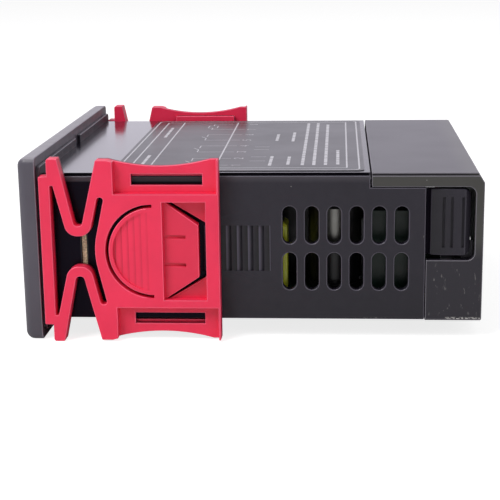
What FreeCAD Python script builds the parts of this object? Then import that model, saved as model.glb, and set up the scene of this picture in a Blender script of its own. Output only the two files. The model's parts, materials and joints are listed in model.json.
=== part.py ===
import FreeCAD, Part
import math
import os
import Sketcher
from FreeCAD import Placement, Rotation, Vector

# Panel-mounted digital temperature controller, in millimetres.
# The origin is the centre of the panel's front surface, where the collar of the housing seats.
# +X points into the panel, towards the terminals, +Z is up, and -X faces the user.

document = FreeCAD.newDocument("temperature_controller")
sheet = document.addObject("Spreadsheet::Sheet", "Sizes")

DRIVING_SIZES = [
    # front frame
    ("bezel_width", 75.0),
    ("bezel_height", 34.5),
    ("bezel_depth", 3.4),
    ("bezel_corner", 1.2),
    ("bezel_rim_round", 1.65),
    ("skirt_reach", 5.8),
    ("skirt_wall", 1.1),
    ("window_width", 67.0),
    ("window_height", 26.4),
    ("window_thickness", 1.2),
    ("window_corner", 1.5),
    ("window_recess", 0.8),
    ("seat_gap", 0.1),
    ("fit_gap", 0.2),
    # housing sleeve
    ("collar_width", 73.0),
    ("collar_height", 31.0),
    ("collar_depth", 0.7),
    ("collar_corner", 1.0),
    ("notch_width", 4.7),
    ("sleeve_width", 70.4),
    ("sleeve_height", 27.8),
    ("side_wall", 1.8),
    ("plate_wall", 1.6),
    ("cavity_chamfer", 1.5),
    ("lid_reach", 60.3),
    ("side_reach", 70.4),
    ("shoulder_up", 11.3),
    # rails for the clips, along the four long edges
    ("rim_drop", 0.4),
    ("rim_width", 0.6),
    ("rail_width", 0.8),
    ("rail_depth", 1.1),
    # ventilation slots
    ("vent_start", 45.6),
    ("vent_pitch", 4.1),
    ("vent_width", 2.55),
    ("vent_length", 7.06),
    ("vent_row_gap", 1.65),
    # slits that show the edge of the front board
    ("slit_start", 6.9),
    ("slit_length", 1.1),
    ("slit_height", 8.4),
    # ratchet on the side walls
    ("ratchet_end", 41.95),
    ("ratchet_pitch", 2.02),
    ("ratchet_height", 8.5),
    ("ratchet_depth", 0.6),
    # mounting clip
    ("clip_start", 0.05),
    ("clip_end", 32.95),
    ("clip_thickness", 3.0),
    ("clip_gap", 0.1),
    ("bar_width", 2.05),
    ("bar_up", 14.0),
    ("foot_start", 1.6),
    ("foot_up", 17.25),
    ("land_up", 16.95),
    ("leg_root", 3.6),
    ("bend_left", 6.3),
    ("bend_right", 7.66),
    ("bend_up", 4.75),
    ("bend_round", 0.76),
    ("plate_start", 10.65),
    ("bow_left", 4.93),
    ("bow_right", 9.01),
    ("bow_up", 2.87),
    ("bow_round", 2.3),
    ("slit_up", 12.25),
    ("slit_width", 0.56),
    ("slit_round", 0.25),
    ("gap_up", 10.1),
    ("gap_left", 10.72),
    ("gap_width", 1.23),
    ("gap_round", 0.55),
    ("heel_start", 9.64),
    ("heel_round", 14.0),
    ("waist_start", 12.65),
    ("waist_span", 18.8),
    ("waist_sag", 1.3),
    ("recess_start", 13.7),
    ("recess_down", 10.7),
    ("recess_rim", 0.4),
    ("recess_depth", 1.8),
    ("window_slot_start", 16.8),
    ("window_slot_length", 13.05),
    ("window_slot_down", 12.1),
    ("window_slot_height", 2.05),
    ("hook_height", 1.35),
    ("hook_gap", 0.15),
    ("hook_side_gap", 0.1),
    ("hook_lap", 0.3),
    # thumb pad and spring tongue of the clip
    ("thumb_centre", 20.7),
    ("thumb_radius", 8.2),
    ("thumb_slit", 0.62),
    ("thumb_rim", 0.75),
    ("thumb_step_start", 0.87),
    ("thumb_step_pitch", 1.21),
    ("thumb_step_depth", 0.11),
    ("hinge_strip", 1.8),
    ("tongue_tip", 29.1),
    ("tongue_tip_up", 4.85),
    ("tongue_root", 0.25),
    ("tongue_slit", 0.75),
    ("tongue_slit_lean", 0.15),
    ("tongue_gap", 1.35),
    ("tongue_window", 9.2),
    ("tongue_recess", 1.2),
    ("tongue_rise", 0.25),
    ("tongue_relief", 1.1),
    ("tongue_line_width", 0.65),
    ("tongue_line_length", 4.2),
    ("tongue_line_up", 2.3),
    ("tongue_line_depth", 0.2),
    ("pawl_height", 6.0),
    # rear cover
    ("rear_reach", 80.9),
    ("cover_wall", 1.5),
    ("rear_wall", 1.4),
    ("cover_seam", 0.3),
    ("cover_gap", 0.15),
    ("cover_line", 0.3),
    ("cover_line_depth", 0.5),
    ("cover_edge_run", 1.05),
    ("cover_edge_drop", 1.7),
    ("cover_window_down", 2.2),
    ("cover_window_round", 1.4),
    ("outlet_width", 52.0),
    ("outlet_height", 7.6),
    ("outlet_up", -7.8),
    ("outlet_round", 1.2),
    # latch pads of the housing in the windows of the cover
    ("latch_gap", 0.9),
    ("latch_tip_gap", 0.75),
    ("latch_gap_above", 0.4),
    ("latch_gap_below", 0.9),
    ("latch_arm", 1.0),
    ("latch_arm_inset", 0.5),
    ("latch_rise", 2.4),
    ("latch_edge_drop", 0.55),
    ("latch_round", 1.5),
    ("latch_groove", 0.5),
    ("latch_groove_depth", 0.4),
    ("latch_groove_inset", 2.1),
    ("latch_groove_end", 1.5),
    # controls in the front
    ("key_radius", 3.2),
    ("key_gap", 0.2),
    ("key_proud", 0.6),
    ("key_flange", 0.8),
    ("key_flange_lip", 0.9),
    ("key_centre", -21.0),
    ("key_spacing_across", 10.5),
    ("key_spacing_up", 11.0),
    ("plunger_radius", 1.7),
    ("plunger_seat", 0.6),
    ("switch_size", 6.0),
    ("switch_depth", 3.4),
    ("switch_bore_depth", 1.4),
    ("display_width", 37.0),
    ("display_height", 10.6),
    ("display_centre", 9.5),
    ("display_spacing", 11.2),
    ("display_gap", 0.3),
    # circuit boards
    ("board_thickness", 1.6),
    ("board_margin", 0.3),
    ("main_board_up", -9.0),
    ("main_board_start", 9.0),
    ("main_board_end", 72.0),
    ("board_shelf", 1.2),
    ("shelf_start", 8.5),
    ("chip_size", 10.0),
    ("chip_thickness", 1.6),
    ("chip_across", 6.0),
    ("pin_pitch", 2.54),
    ("pin_size", 0.64),
    ("pin_strip", 2.5),
    ("pin_reach", 11.0),
    # mains transformer
    ("core_start", 11.5),
    ("core_length", 25.0),
    ("core_width", 30.0),
    ("core_stack", 11.0),
    ("core_limb", 5.0),
    ("core_across", 16.0),
    ("core_up", 1.2),
    ("bobbin_wall", 0.75),
    ("bobbin_gap", 0.15),
    ("bobbin_flange", 0.9),
    ("bobbin_overhang", 3.5),
    ("winding_inset", 0.5),
    ("winding_round", 2.5),
    # parts on the main board
    ("relay_start", 43.0),
    ("relay_length", 15.5),
    ("relay_width", 19.0),
    ("relay_height", 15.3),
    ("relay_chamfer", 0.6),
    ("relay_across", -18.5),
    ("relay_spacing", 21.5),
    ("supply_capacitor_x", 53.9),
    ("supply_capacitor_y", -27.0),
    ("supply_capacitor_radius", 5.0),
    ("supply_capacitor_height", 15.8),
    ("output_capacitor_x", 49.6),
    ("output_capacitor_y", 28.0),
    ("output_capacitor_radius", 4.0),
    ("output_capacitor_height", 11.5),
    ("capacitor_neck", 0.4),
    ("film_capacitor_start", 32.0),
    ("film_capacitor_length", 13.1),
    ("film_capacitor_width", 6.0),
    ("film_capacitor_height", 13.0),
    ("film_capacitor_across", -31.8),
    ("varistor_x", 22.0),
    ("varistor_y", -29.0),
    ("varistor_radius", 4.8),
    ("varistor_thickness", 4.0),
    ("buzzer_x", 24.0),
    ("buzzer_y", -12.5),
    ("buzzer_radius", 6.0),
    ("buzzer_height", 8.5),
    ("buzzer_port", 1.0),
    # terminal strip
    ("terminal_start", 60.7),
    ("terminal_length", 12.9),
    ("terminal_height", 15.2),
    ("terminal_step", 1.4),
    ("terminal_step_height", 8.6),
    ("terminal_pitch", 7.62),
    ("terminal_end", 1.6),
    ("entry_width", 3.8),
    ("entry_height", 4.2),
    ("entry_up", 2.2),
    ("entry_depth", 8.0),
    ("well_radius", 2.1),
    ("well_depth", 5.2),
    ("well_setback", 5.6),
    ("cage_wall", 0.45),
    ("cage_inset", 0.6),
    ("screw_gap", 0.1),
    ("screw_head", 2.0),
    ("screw_slot", 0.6),
    # printed wiring label on the lid
    ("label_start", 12.5),
    ("label_end", 59.3),
    ("label_width", 64.8),
    ("label_thickness", 0.12),
    ("label_corner", 1.2),
]

VENT_COLUMNS = 6
RATCHET_TEETH = 10
PAWL_TEETH = 3
THUMB_STEPS = 6
TOOTH_SHARE = 0.8
CORNER_SHARE = 1.1
PIN_COUNT = 8
TERMINAL_COUNT = 8
LATCH_GROOVES = (0.0, 1.5, 3.5)
EDGE_TOLERANCE = 0.01


class Size:
    """A length with its number and the sheet formula that it comes from."""

    def __init__(self, number, formula):
        self.number = float(number)
        self.formula = formula

    def __add__(self, other):
        other = as_size(other)
        return Size(self.number + other.number, "(%s + %s)" % (self.formula, other.formula))

    def __radd__(self, other):
        return as_size(other) + self

    def __sub__(self, other):
        other = as_size(other)
        return Size(self.number - other.number, "(%s - %s)" % (self.formula, other.formula))

    def __rsub__(self, other):
        return as_size(other) - self

    def __mul__(self, other):
        other = as_size(other)
        return Size(self.number * other.number, "(%s * %s)" % (self.formula, other.formula))

    def __rmul__(self, other):
        return as_size(other) * self

    def __truediv__(self, other):
        other = as_size(other)
        return Size(self.number / other.number, "(%s / %s)" % (self.formula, other.formula))

    def __neg__(self):
        return 0.0 - self

    def root(self):
        return Size(math.sqrt(self.number), "sqrt(%s)" % self.formula)


def as_size(value):
    if isinstance(value, Size):
        return value
    return Size(value, "(%s)" % repr(float(value)))


def fill_sheet():
    named = {}
    for row, (alias, number) in enumerate(DRIVING_SIZES, start=1):
        cell = "B%d" % row
        sheet.set("A%d" % row, alias)
        sheet.set(cell, repr(number))
        sheet.setAlias(cell, alias)
        named[alias] = Size(number, "Sizes." + alias)
    return named


size = fill_sheet()


def bind(thing, path, value):
    """Ties a property of the object to the sheet."""
    thing.setExpression(path, as_size(value).formula)


# Sketch outlines. Each returns a function that draws it in a sketch.


def pin(sketch, geometry, point, across, up):
    for kind, value in (("DistanceX", across), ("DistanceY", up)):
        value = as_size(value)
        index = sketch.addConstraint(Sketcher.Constraint(kind, -1, 1, geometry, point, value.number))
        bind(sketch, "Constraints[%d]" % index, value)


def measure(sketch, kind, geometry, value):
    value = as_size(value)
    index = sketch.addConstraint(Sketcher.Constraint(kind, geometry, value.number))
    bind(sketch, "Constraints[%d]" % index, value)


def outline(corners):
    """A closed outline of straight lines; a corner with a third value is rounded to that radius."""

    def draw(sketch):
        count = len(corners)
        places = [Vector(as_size(c[0]).number, as_size(c[1]).number, 0) for c in corners]
        enters = []
        leaves = []
        arcs = []
        for i, corner in enumerate(corners):
            if len(corner) < 3:
                enters.append(places[i])
                leaves.append(places[i])
                arcs.append(None)
                continue
            radius = as_size(corner[2]).number
            before = (places[i - 1] - places[i]).normalize()
            after = (places[(i + 1) % count] - places[i]).normalize()
            half = before.getAngle(after) / 2
            reach = radius / math.tan(half)
            centre = places[i] + (before + after).normalize() * (radius / math.sin(half))
            enters.append(places[i] + before * reach)
            leaves.append(places[i] + after * reach)
            turns_left = before.cross(after).z < 0
            start, stop = (enters[i], leaves[i]) if turns_left else (leaves[i], enters[i])
            angles = [math.atan2(p.y - centre.y, p.x - centre.x) for p in (start, stop)]
            arcs.append((centre, radius, angles, turns_left))
        first = sketch.GeometryCount
        for i in range(count):
            sketch.addGeometry(Part.LineSegment(leaves[i], enters[(i + 1) % count]), False)
        for i, corner in enumerate(corners):
            arriving = first + (i - 1) % count
            leaving = first + i
            if arcs[i] is None:
                sketch.addConstraint(Sketcher.Constraint("Coincident", arriving, 2, leaving, 1))
                pin(sketch, leaving, 1, corner[0], corner[1])
                continue
            centre, radius, angles, turns_left = arcs[i]
            circle = Part.Circle(centre, Vector(0, 0, 1), radius)
            arc = sketch.addGeometry(Part.ArcOfCircle(circle, angles[0], angles[1]), False)
            near, far = (1, 2) if turns_left else (2, 1)
            sketch.addConstraint(Sketcher.Constraint("Tangent", arriving, 2, arc, near))
            sketch.addConstraint(Sketcher.Constraint("Tangent", arc, far, leaving, 1))
            measure(sketch, "Radius", arc, corner[2])
            mark = sketch.addGeometry(Part.Point(places[i]), True)
            sketch.addConstraint(Sketcher.Constraint("PointOnObject", mark, 1, arriving))
            sketch.addConstraint(Sketcher.Constraint("PointOnObject", mark, 1, leaving))
            pin(sketch, mark, 1, corner[0], corner[1])

    return draw


def rectangle(left, right, low, high, radius=None):
    corners = [(left, low), (right, low), (right, high), (left, high)]
    if radius is not None:
        corners = [corner + (radius,) for corner in corners]
    return outline(corners)


def centred(width, height, radius=None):
    return rectangle(-width / 2, width / 2, -height / 2, height / 2, radius)


def bevelled(width, height, chamfer):
    """A centred rectangle with its corners cut at 45 degrees."""
    across = width / 2
    up = height / 2
    return outline([
        (chamfer - across, -up),
        (across - chamfer, -up),
        (across, chamfer - up),
        (across, up - chamfer),
        (across - chamfer, up),
        (chamfer - across, up),
        (-across, up - chamfer),
        (-across, chamfer - up),
    ])


def ring(across, up, radius):
    def draw(sketch):
        place = Vector(as_size(across).number, as_size(up).number, 0)
        circle = sketch.addGeometry(Part.Circle(place, Vector(0, 0, 1), as_size(radius).number), False)
        pin(sketch, circle, 3, across, up)
        measure(sketch, "Radius", circle, radius)

    return draw


def stadium(across, low, high, radius):
    """An upright slot with round ends; low and high are the centres of its ends."""

    def draw(sketch):
        x = as_size(across).number
        r = as_size(radius).number
        bottom = Vector(x, as_size(low).number, 0)
        top = Vector(x, as_size(high).number, 0)
        side = Vector(r, 0, 0)
        upper = Part.ArcOfCircle(Part.Circle(top, Vector(0, 0, 1), r), 0, math.pi)
        lower = Part.ArcOfCircle(Part.Circle(bottom, Vector(0, 0, 1), r), math.pi, 2 * math.pi)
        a = sketch.addGeometry(upper, False)
        b = sketch.addGeometry(lower, False)
        left = sketch.addGeometry(Part.LineSegment(top - side, bottom - side), False)
        right = sketch.addGeometry(Part.LineSegment(bottom + side, top + side), False)
        joins = ((a, 2, left, 1), (left, 2, b, 1), (b, 2, right, 1), (right, 2, a, 1))
        for one, one_end, two, two_end in joins:
            sketch.addConstraint(Sketcher.Constraint("Tangent", one, one_end, two, two_end))
        sketch.addConstraint(Sketcher.Constraint("Equal", a, b))
        measure(sketch, "Radius", a, radius)
        pin(sketch, a, 3, across, high)
        pin(sketch, b, 3, across, low)

    return draw


def half_ring(across, inner, outer):
    """A half circular slit about a centre on the sketch's own axis, open towards larger values."""

    def draw(sketch):
        x = as_size(across).number
        centre = Vector(x, 0, 0)
        arcs = []
        for radius in (inner, outer):
            circle = Part.Circle(centre, Vector(0, 0, 1), as_size(radius).number)
            arcs.append(sketch.addGeometry(Part.ArcOfCircle(circle, math.pi / 2, 3 * math.pi / 2), False))
        small = as_size(inner).number
        large = as_size(outer).number
        upper = sketch.addGeometry(Part.LineSegment(Vector(x, small, 0), Vector(x, large, 0)), False)
        lower = sketch.addGeometry(Part.LineSegment(Vector(x, -small, 0), Vector(x, -large, 0)), False)
        for arc, end in ((arcs[0], 1), (arcs[1], 2)):
            sketch.addConstraint(Sketcher.Constraint("Coincident", arc, 1, upper, end))
            sketch.addConstraint(Sketcher.Constraint("Coincident", arc, 2, lower, end))
        sketch.addConstraint(Sketcher.Constraint("Coincident", arcs[0], 3, arcs[1], 3))
        pin(sketch, arcs[0], 3, across, 0.0)
        measure(sketch, "Radius", arcs[0], inner)
        measure(sketch, "Radius", arcs[1], outer)
        for line in (upper, lower):
            for end in (1, 2):
                index = sketch.addConstraint(Sketcher.Constraint("DistanceX", -1, 1, line, end, x))
                bind(sketch, "Constraints[%d]" % index, across)

    return draw


def round_segment(across, back, radius):
    """The part of a disc that lies further back than a straight line, towards smaller values."""

    def draw(sketch):
        x = as_size(across).number
        r = as_size(radius).number
        line = as_size(across - back).number
        reach = math.sqrt(r * r - (x - line) * (x - line))
        start = math.atan2(reach, line - x)
        circle = Part.Circle(Vector(x, 0, 0), Vector(0, 0, 1), r)
        arc = sketch.addGeometry(Part.ArcOfCircle(circle, start, 2 * math.pi - start), False)
        chord = sketch.addGeometry(Part.LineSegment(Vector(line, reach, 0), Vector(line, -reach, 0)), False)
        sketch.addConstraint(Sketcher.Constraint("Coincident", arc, 1, chord, 1))
        sketch.addConstraint(Sketcher.Constraint("Coincident", arc, 2, chord, 2))
        sketch.addConstraint(Sketcher.Constraint("Vertical", chord))
        pin(sketch, arc, 3, across, 0.0)
        measure(sketch, "Radius", arc, radius)
        index = sketch.addConstraint(Sketcher.Constraint("DistanceX", -1, 1, chord, 1, line))
        bind(sketch, "Constraints[%d]" % index, across - back)

    return draw


# Features. A plane is named by its role, and low and high are places along its normal axis.


def origin_feature(body, role):
    return next(f for f in body.Origin.OriginFeatures if f.Role == role)


def extrusion(body, kind, name, plane, loops, low, high):
    """Pads or pockets the loops from low to high along X, Y or Z, whatever way the plane faces."""
    low = as_size(low)
    high = as_size(high)
    faces_back = plane == "XZ_Plane"
    adds = kind == "PartDesign::Pad"
    start = low if adds != faces_back else high
    offset = -start if faces_back else start
    sketch = body.newObject("Sketcher::SketchObject", name + "_sketch")
    sketch.AttachmentSupport = [(origin_feature(body, plane), "")]
    sketch.MapMode = "FlatFace"
    bind(sketch, "AttachmentOffset.Base.z", offset)
    for loop in loops:
        loop(sketch)
    feature = body.newObject(kind, name)
    feature.Profile = sketch
    feature.Length = (high - low).number
    bind(feature, "Length", high - low)
    body.Tip = feature
    return feature


def pad(body, name, plane, loops, low, high):
    return extrusion(body, "PartDesign::Pad", name, plane, loops, low, high)


def pocket(body, name, plane, loops, low, high):
    return extrusion(body, "PartDesign::Pocket", name, plane, loops, low, high)


def new_body(name):
    body = document.addObject("PartDesign::Body", name)
    body.Label = name
    parts.append(body)
    return body


def row_of(body, name, originals, axis, pitch, count):
    """Repeats features along an axis; a negative pitch runs the other way."""
    feature = body.newObject("PartDesign::LinearPattern", name)
    feature.Originals = originals
    feature.Direction = (origin_feature(body, axis), [""])
    feature.Occurrences = count
    length = as_size(pitch) * (count - 1)
    feature.Reversed = length.number < 0
    feature.Length = abs(length.number)
    bind(feature, "Length", length if length.number > 0 else -length)
    body.Tip = feature
    return feature


def mirror_of(body, name, originals, plane):
    feature = body.newObject("PartDesign::Mirrored", name)
    feature.Originals = originals
    feature.MirrorPlane = (origin_feature(body, plane), [""])
    body.Tip = feature
    return feature


def edge_names(feature, chosen):
    """The names of the edges whose bounding box the test accepts."""
    document.recompute()
    return ["Edge%d" % i for i, edge in enumerate(feature.Shape.Edges, start=1) if chosen(edge.BoundBox)]


def soften(body, name, kind, feature, chosen, amount):
    """Fillets or chamfers the chosen edges of the last feature."""
    names = edge_names(feature, chosen)
    dressed = body.newObject(kind, name)
    dressed.Base = (feature, names)
    path = "Radius" if kind == "PartDesign::Fillet" else "Size"
    setattr(dressed, path, amount.number)
    bind(dressed, path, amount)
    body.Tip = dressed
    return dressed


def at(value, place):
    return abs(value - as_size(place).number) < EDGE_TOLERANCE


parts = []

# Places that several pieces share.
HALF_WIDTH = size["sleeve_width"] / 2
HALF_HEIGHT = size["sleeve_height"] / 2
RIM_UP = HALF_HEIGHT - size["rim_drop"]
RAIL_OUT = HALF_WIDTH - size["rim_width"]
RAIL_IN = RAIL_OUT - size["rail_width"]
RAIL_FLOOR = RIM_UP - size["rail_depth"]
CAVITY_WIDTH = size["sleeve_width"] - 2 * size["side_wall"]
CAVITY_HEIGHT = size["sleeve_height"] - 2 * size["plate_wall"]
BEZEL_BACK = -size["collar_depth"]
BEZEL_FRONT = BEZEL_BACK - size["bezel_depth"]
WINDOW_FRONT = BEZEL_FRONT + size["window_recess"]
WINDOW_BACK = WINDOW_FRONT + size["window_thickness"]
SKIRT_WIDTH = CAVITY_WIDTH - 2 * size["fit_gap"]
SKIRT_HEIGHT = CAVITY_HEIGHT - 2 * size["fit_gap"]
FRONT_BOARD = size["skirt_reach"]
FRONT_BOARD_BACK = FRONT_BOARD + size["board_thickness"]
BOARD_TOP = size["main_board_up"]
BOARD_BOTTOM = BOARD_TOP - size["board_thickness"]
COVER_START = size["lid_reach"] + size["cover_seam"]
PANEL_START = size["side_reach"] + size["cover_gap"]
STRIP_DOWN = size["shoulder_up"] + size["cover_gap"]
WINDOW_DOWN = -size["cover_window_down"]
WINDOW_END = size["rear_reach"] - size["rear_wall"] - size["cover_gap"]
TERMINAL_FACE = size["terminal_start"] + size["terminal_length"]
CLIP_IN = -(HALF_WIDTH + size["clip_gap"])
CLIP_OUT = CLIP_IN - size["clip_thickness"]
CUT_PAST = 2.0


def long_edge_outline(line_only):
    """The sleeve's section: the rails step round all four long edges, or only a fine line does."""
    if line_only:
        line_out = HALF_WIDTH - size["rim_width"]
        line_in = line_out - size["cover_line"]
        floor = RIM_UP - size["cover_line_depth"]
    else:
        line_out = RAIL_OUT
        line_in = RAIL_IN
        floor = RAIL_FLOOR
    quarter = [
        (HALF_WIDTH, RIM_UP),
        (line_out, RIM_UP),
        (line_out, floor),
        (line_in, floor),
        (line_in, HALF_HEIGHT),
    ]
    upper = quarter + [(-y, z) for y, z in reversed(quarter)]
    return outline(upper + [(y, -z) for y, z in reversed(upper)])


def make_front_bezel():
    body = new_body("front_bezel")
    opening_width = SKIRT_WIDTH - 2 * size["skirt_wall"]
    opening_height = SKIRT_HEIGHT - 2 * size["skirt_wall"]
    frame = pad(body, "bezel_frame", "YZ_Plane",
                [centred(size["bezel_width"], size["bezel_height"], size["bezel_corner"])],
                BEZEL_FRONT, BEZEL_BACK)

    def on_front(box):
        return at(box.XMin, BEZEL_FRONT) and at(box.XMax, BEZEL_FRONT)

    soften(body, "bezel_rim", "PartDesign::Fillet", frame, on_front, size["bezel_rim_round"])
    pad(body, "bezel_skirt", "YZ_Plane",
        [bevelled(SKIRT_WIDTH, SKIRT_HEIGHT, size["cavity_chamfer"])], BEZEL_BACK, size["skirt_reach"])
    pocket(body, "bezel_opening", "YZ_Plane",
           [bevelled(opening_width, opening_height, size["cavity_chamfer"])],
           BEZEL_FRONT - CUT_PAST, size["skirt_reach"] + CUT_PAST)
    pocket(body, "bezel_window_seat", "YZ_Plane",
           [centred(size["window_width"] + 2 * size["seat_gap"],
                    size["window_height"] + 2 * size["seat_gap"],
                    size["window_corner"])],
           BEZEL_FRONT - CUT_PAST, WINDOW_BACK)


def key_places():
    """The four keys, by name, in two rows of two."""
    left = size["key_centre"] + size["key_spacing_across"] / 2
    right = size["key_centre"] - size["key_spacing_across"] / 2
    upper = size["key_spacing_up"] / 2
    return [("set", left, upper), ("up", right, upper), ("power", left, -upper), ("down", right, -upper)]


def make_display_window():
    body = new_body("display_window")
    holes = [ring(across, up, size["key_radius"] + size["key_gap"]) for name, across, up in key_places()]
    pad(body, "window_plate", "YZ_Plane",
        [centred(size["window_width"], size["window_height"], size["window_corner"])] + holes,
        WINDOW_FRONT, WINDOW_BACK)


def make_keys():
    key_front = WINDOW_FRONT - size["key_proud"]
    flange_front = WINDOW_BACK + size["seat_gap"]
    flange_back = flange_front + size["key_flange"]
    switch_front = FRONT_BOARD - size["switch_depth"]
    plunger_end = switch_front + size["plunger_seat"]
    half = size["switch_size"] / 2
    for name, across, up in key_places():
        key = new_body("button_" + name)
        cap = pad(key, name + "_cap", "YZ_Plane", [ring(across, up, size["key_radius"])],
                  key_front, flange_back)

        def on_cap_front(box):
            return at(box.XMin, key_front) and at(box.XMax, key_front)

        soften(key, name + "_cap_edge", "PartDesign::Chamfer", cap, on_cap_front, size["key_gap"])
        pad(key, name + "_flange", "YZ_Plane",
            [ring(across, up, size["key_radius"] + size["key_flange_lip"])], flange_front, flange_back)
        plunger = new_body("plunger_" + name)
        pad(plunger, name + "_plunger_stem", "YZ_Plane", [ring(across, up, size["plunger_radius"])],
            flange_back, plunger_end)
        switch = new_body("switch_" + name)
        pad(switch, name + "_switch_case", "YZ_Plane",
            [rectangle(across - half, across + half, up - half, up + half)],
            switch_front, FRONT_BOARD)
        pocket(switch, name + "_switch_bore", "YZ_Plane",
               [ring(across, up, size["plunger_radius"] + size["key_gap"])],
               switch_front - CUT_PAST, switch_front + size["switch_bore_depth"])


def make_displays():
    left = size["display_centre"] - size["display_width"] / 2
    right = size["display_centre"] + size["display_width"] / 2
    half = size["display_height"] / 2
    start = WINDOW_BACK + size["display_gap"]
    for name, middle in (("upper", size["display_spacing"] / 2), ("lower", -size["display_spacing"] / 2)):
        body = new_body("display_" + name)
        case = pad(body, name + "_display_case", "YZ_Plane",
                   [rectangle(left, right, middle - half, middle + half)], start, FRONT_BOARD)

        def on_face(box):
            return at(box.XMin, start) and at(box.XMax, start)

        soften(body, name + "_display_edge", "PartDesign::Chamfer", case, on_face, size["fit_gap"])


def make_front_board():
    body = new_body("display_board")
    pad(body, "display_board_sheet", "YZ_Plane",
        [bevelled(SKIRT_WIDTH, SKIRT_HEIGHT, size["cavity_chamfer"])], FRONT_BOARD, FRONT_BOARD_BACK)
    chip = new_body("controller_chip")
    half = size["chip_size"] / 2
    pad(chip, "chip_case", "YZ_Plane",
        [rectangle(size["chip_across"] - half, size["chip_across"] + half, -half, half, size["fit_gap"])],
        FRONT_BOARD_BACK, FRONT_BOARD_BACK + size["chip_thickness"])


def make_board_header():
    """An angled row of pins that joins the upright board to the lying one."""
    body = new_body("board_header")
    strip_half = PIN_COUNT * size["pin_pitch"] / 2
    strip_down = BOARD_TOP + size["pin_strip"] / 2
    pin_down = strip_down + (size["pin_strip"] - size["pin_size"]) / 2
    pad(body, "header_strip", "YZ_Plane",
        [rectangle(-strip_half, strip_half, strip_down, strip_down + size["pin_strip"])],
        FRONT_BOARD_BACK, FRONT_BOARD_BACK + size["pin_strip"])
    first = size["pin_pitch"] / 2 - strip_half
    bent = outline([
        (FRONT_BOARD_BACK, pin_down),
        (size["pin_reach"], pin_down),
        (size["pin_reach"], BOARD_TOP),
        (size["pin_reach"] + size["pin_size"], BOARD_TOP),
        (size["pin_reach"] + size["pin_size"], pin_down + size["pin_size"]),
        (FRONT_BOARD_BACK, pin_down + size["pin_size"]),
    ])
    half_pin = size["pin_size"] / 2
    one = pad(body, "header_pin", "XZ_Plane", [bent], first - half_pin, first + half_pin)
    row_of(body, "header_pins", [one], "Y_Axis", size["pin_pitch"], PIN_COUNT)


def latch_outline():
    """One latch arm from above: it leaves the side wall's inner half and steps out to the pad."""
    inner = -(HALF_WIDTH - size["side_wall"]) + size["latch_arm_inset"]
    arm = inner - size["latch_arm"]
    start = size["side_reach"] - size["side_wall"]
    pad_start = size["side_reach"] + size["latch_gap"]
    pad_end = WINDOW_END - size["latch_tip_gap"]
    outer = -HALF_WIDTH + size["cover_gap"]
    return outline([
        (start, inner),
        (start, arm),
        (pad_start, arm),
        (pad_start, outer + size["latch_edge_drop"]),
        (pad_start + size["latch_rise"], outer),
        (pad_end - size["latch_arm"], outer),
        (pad_end, arm),
        (pad_end, inner),
    ])


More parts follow.
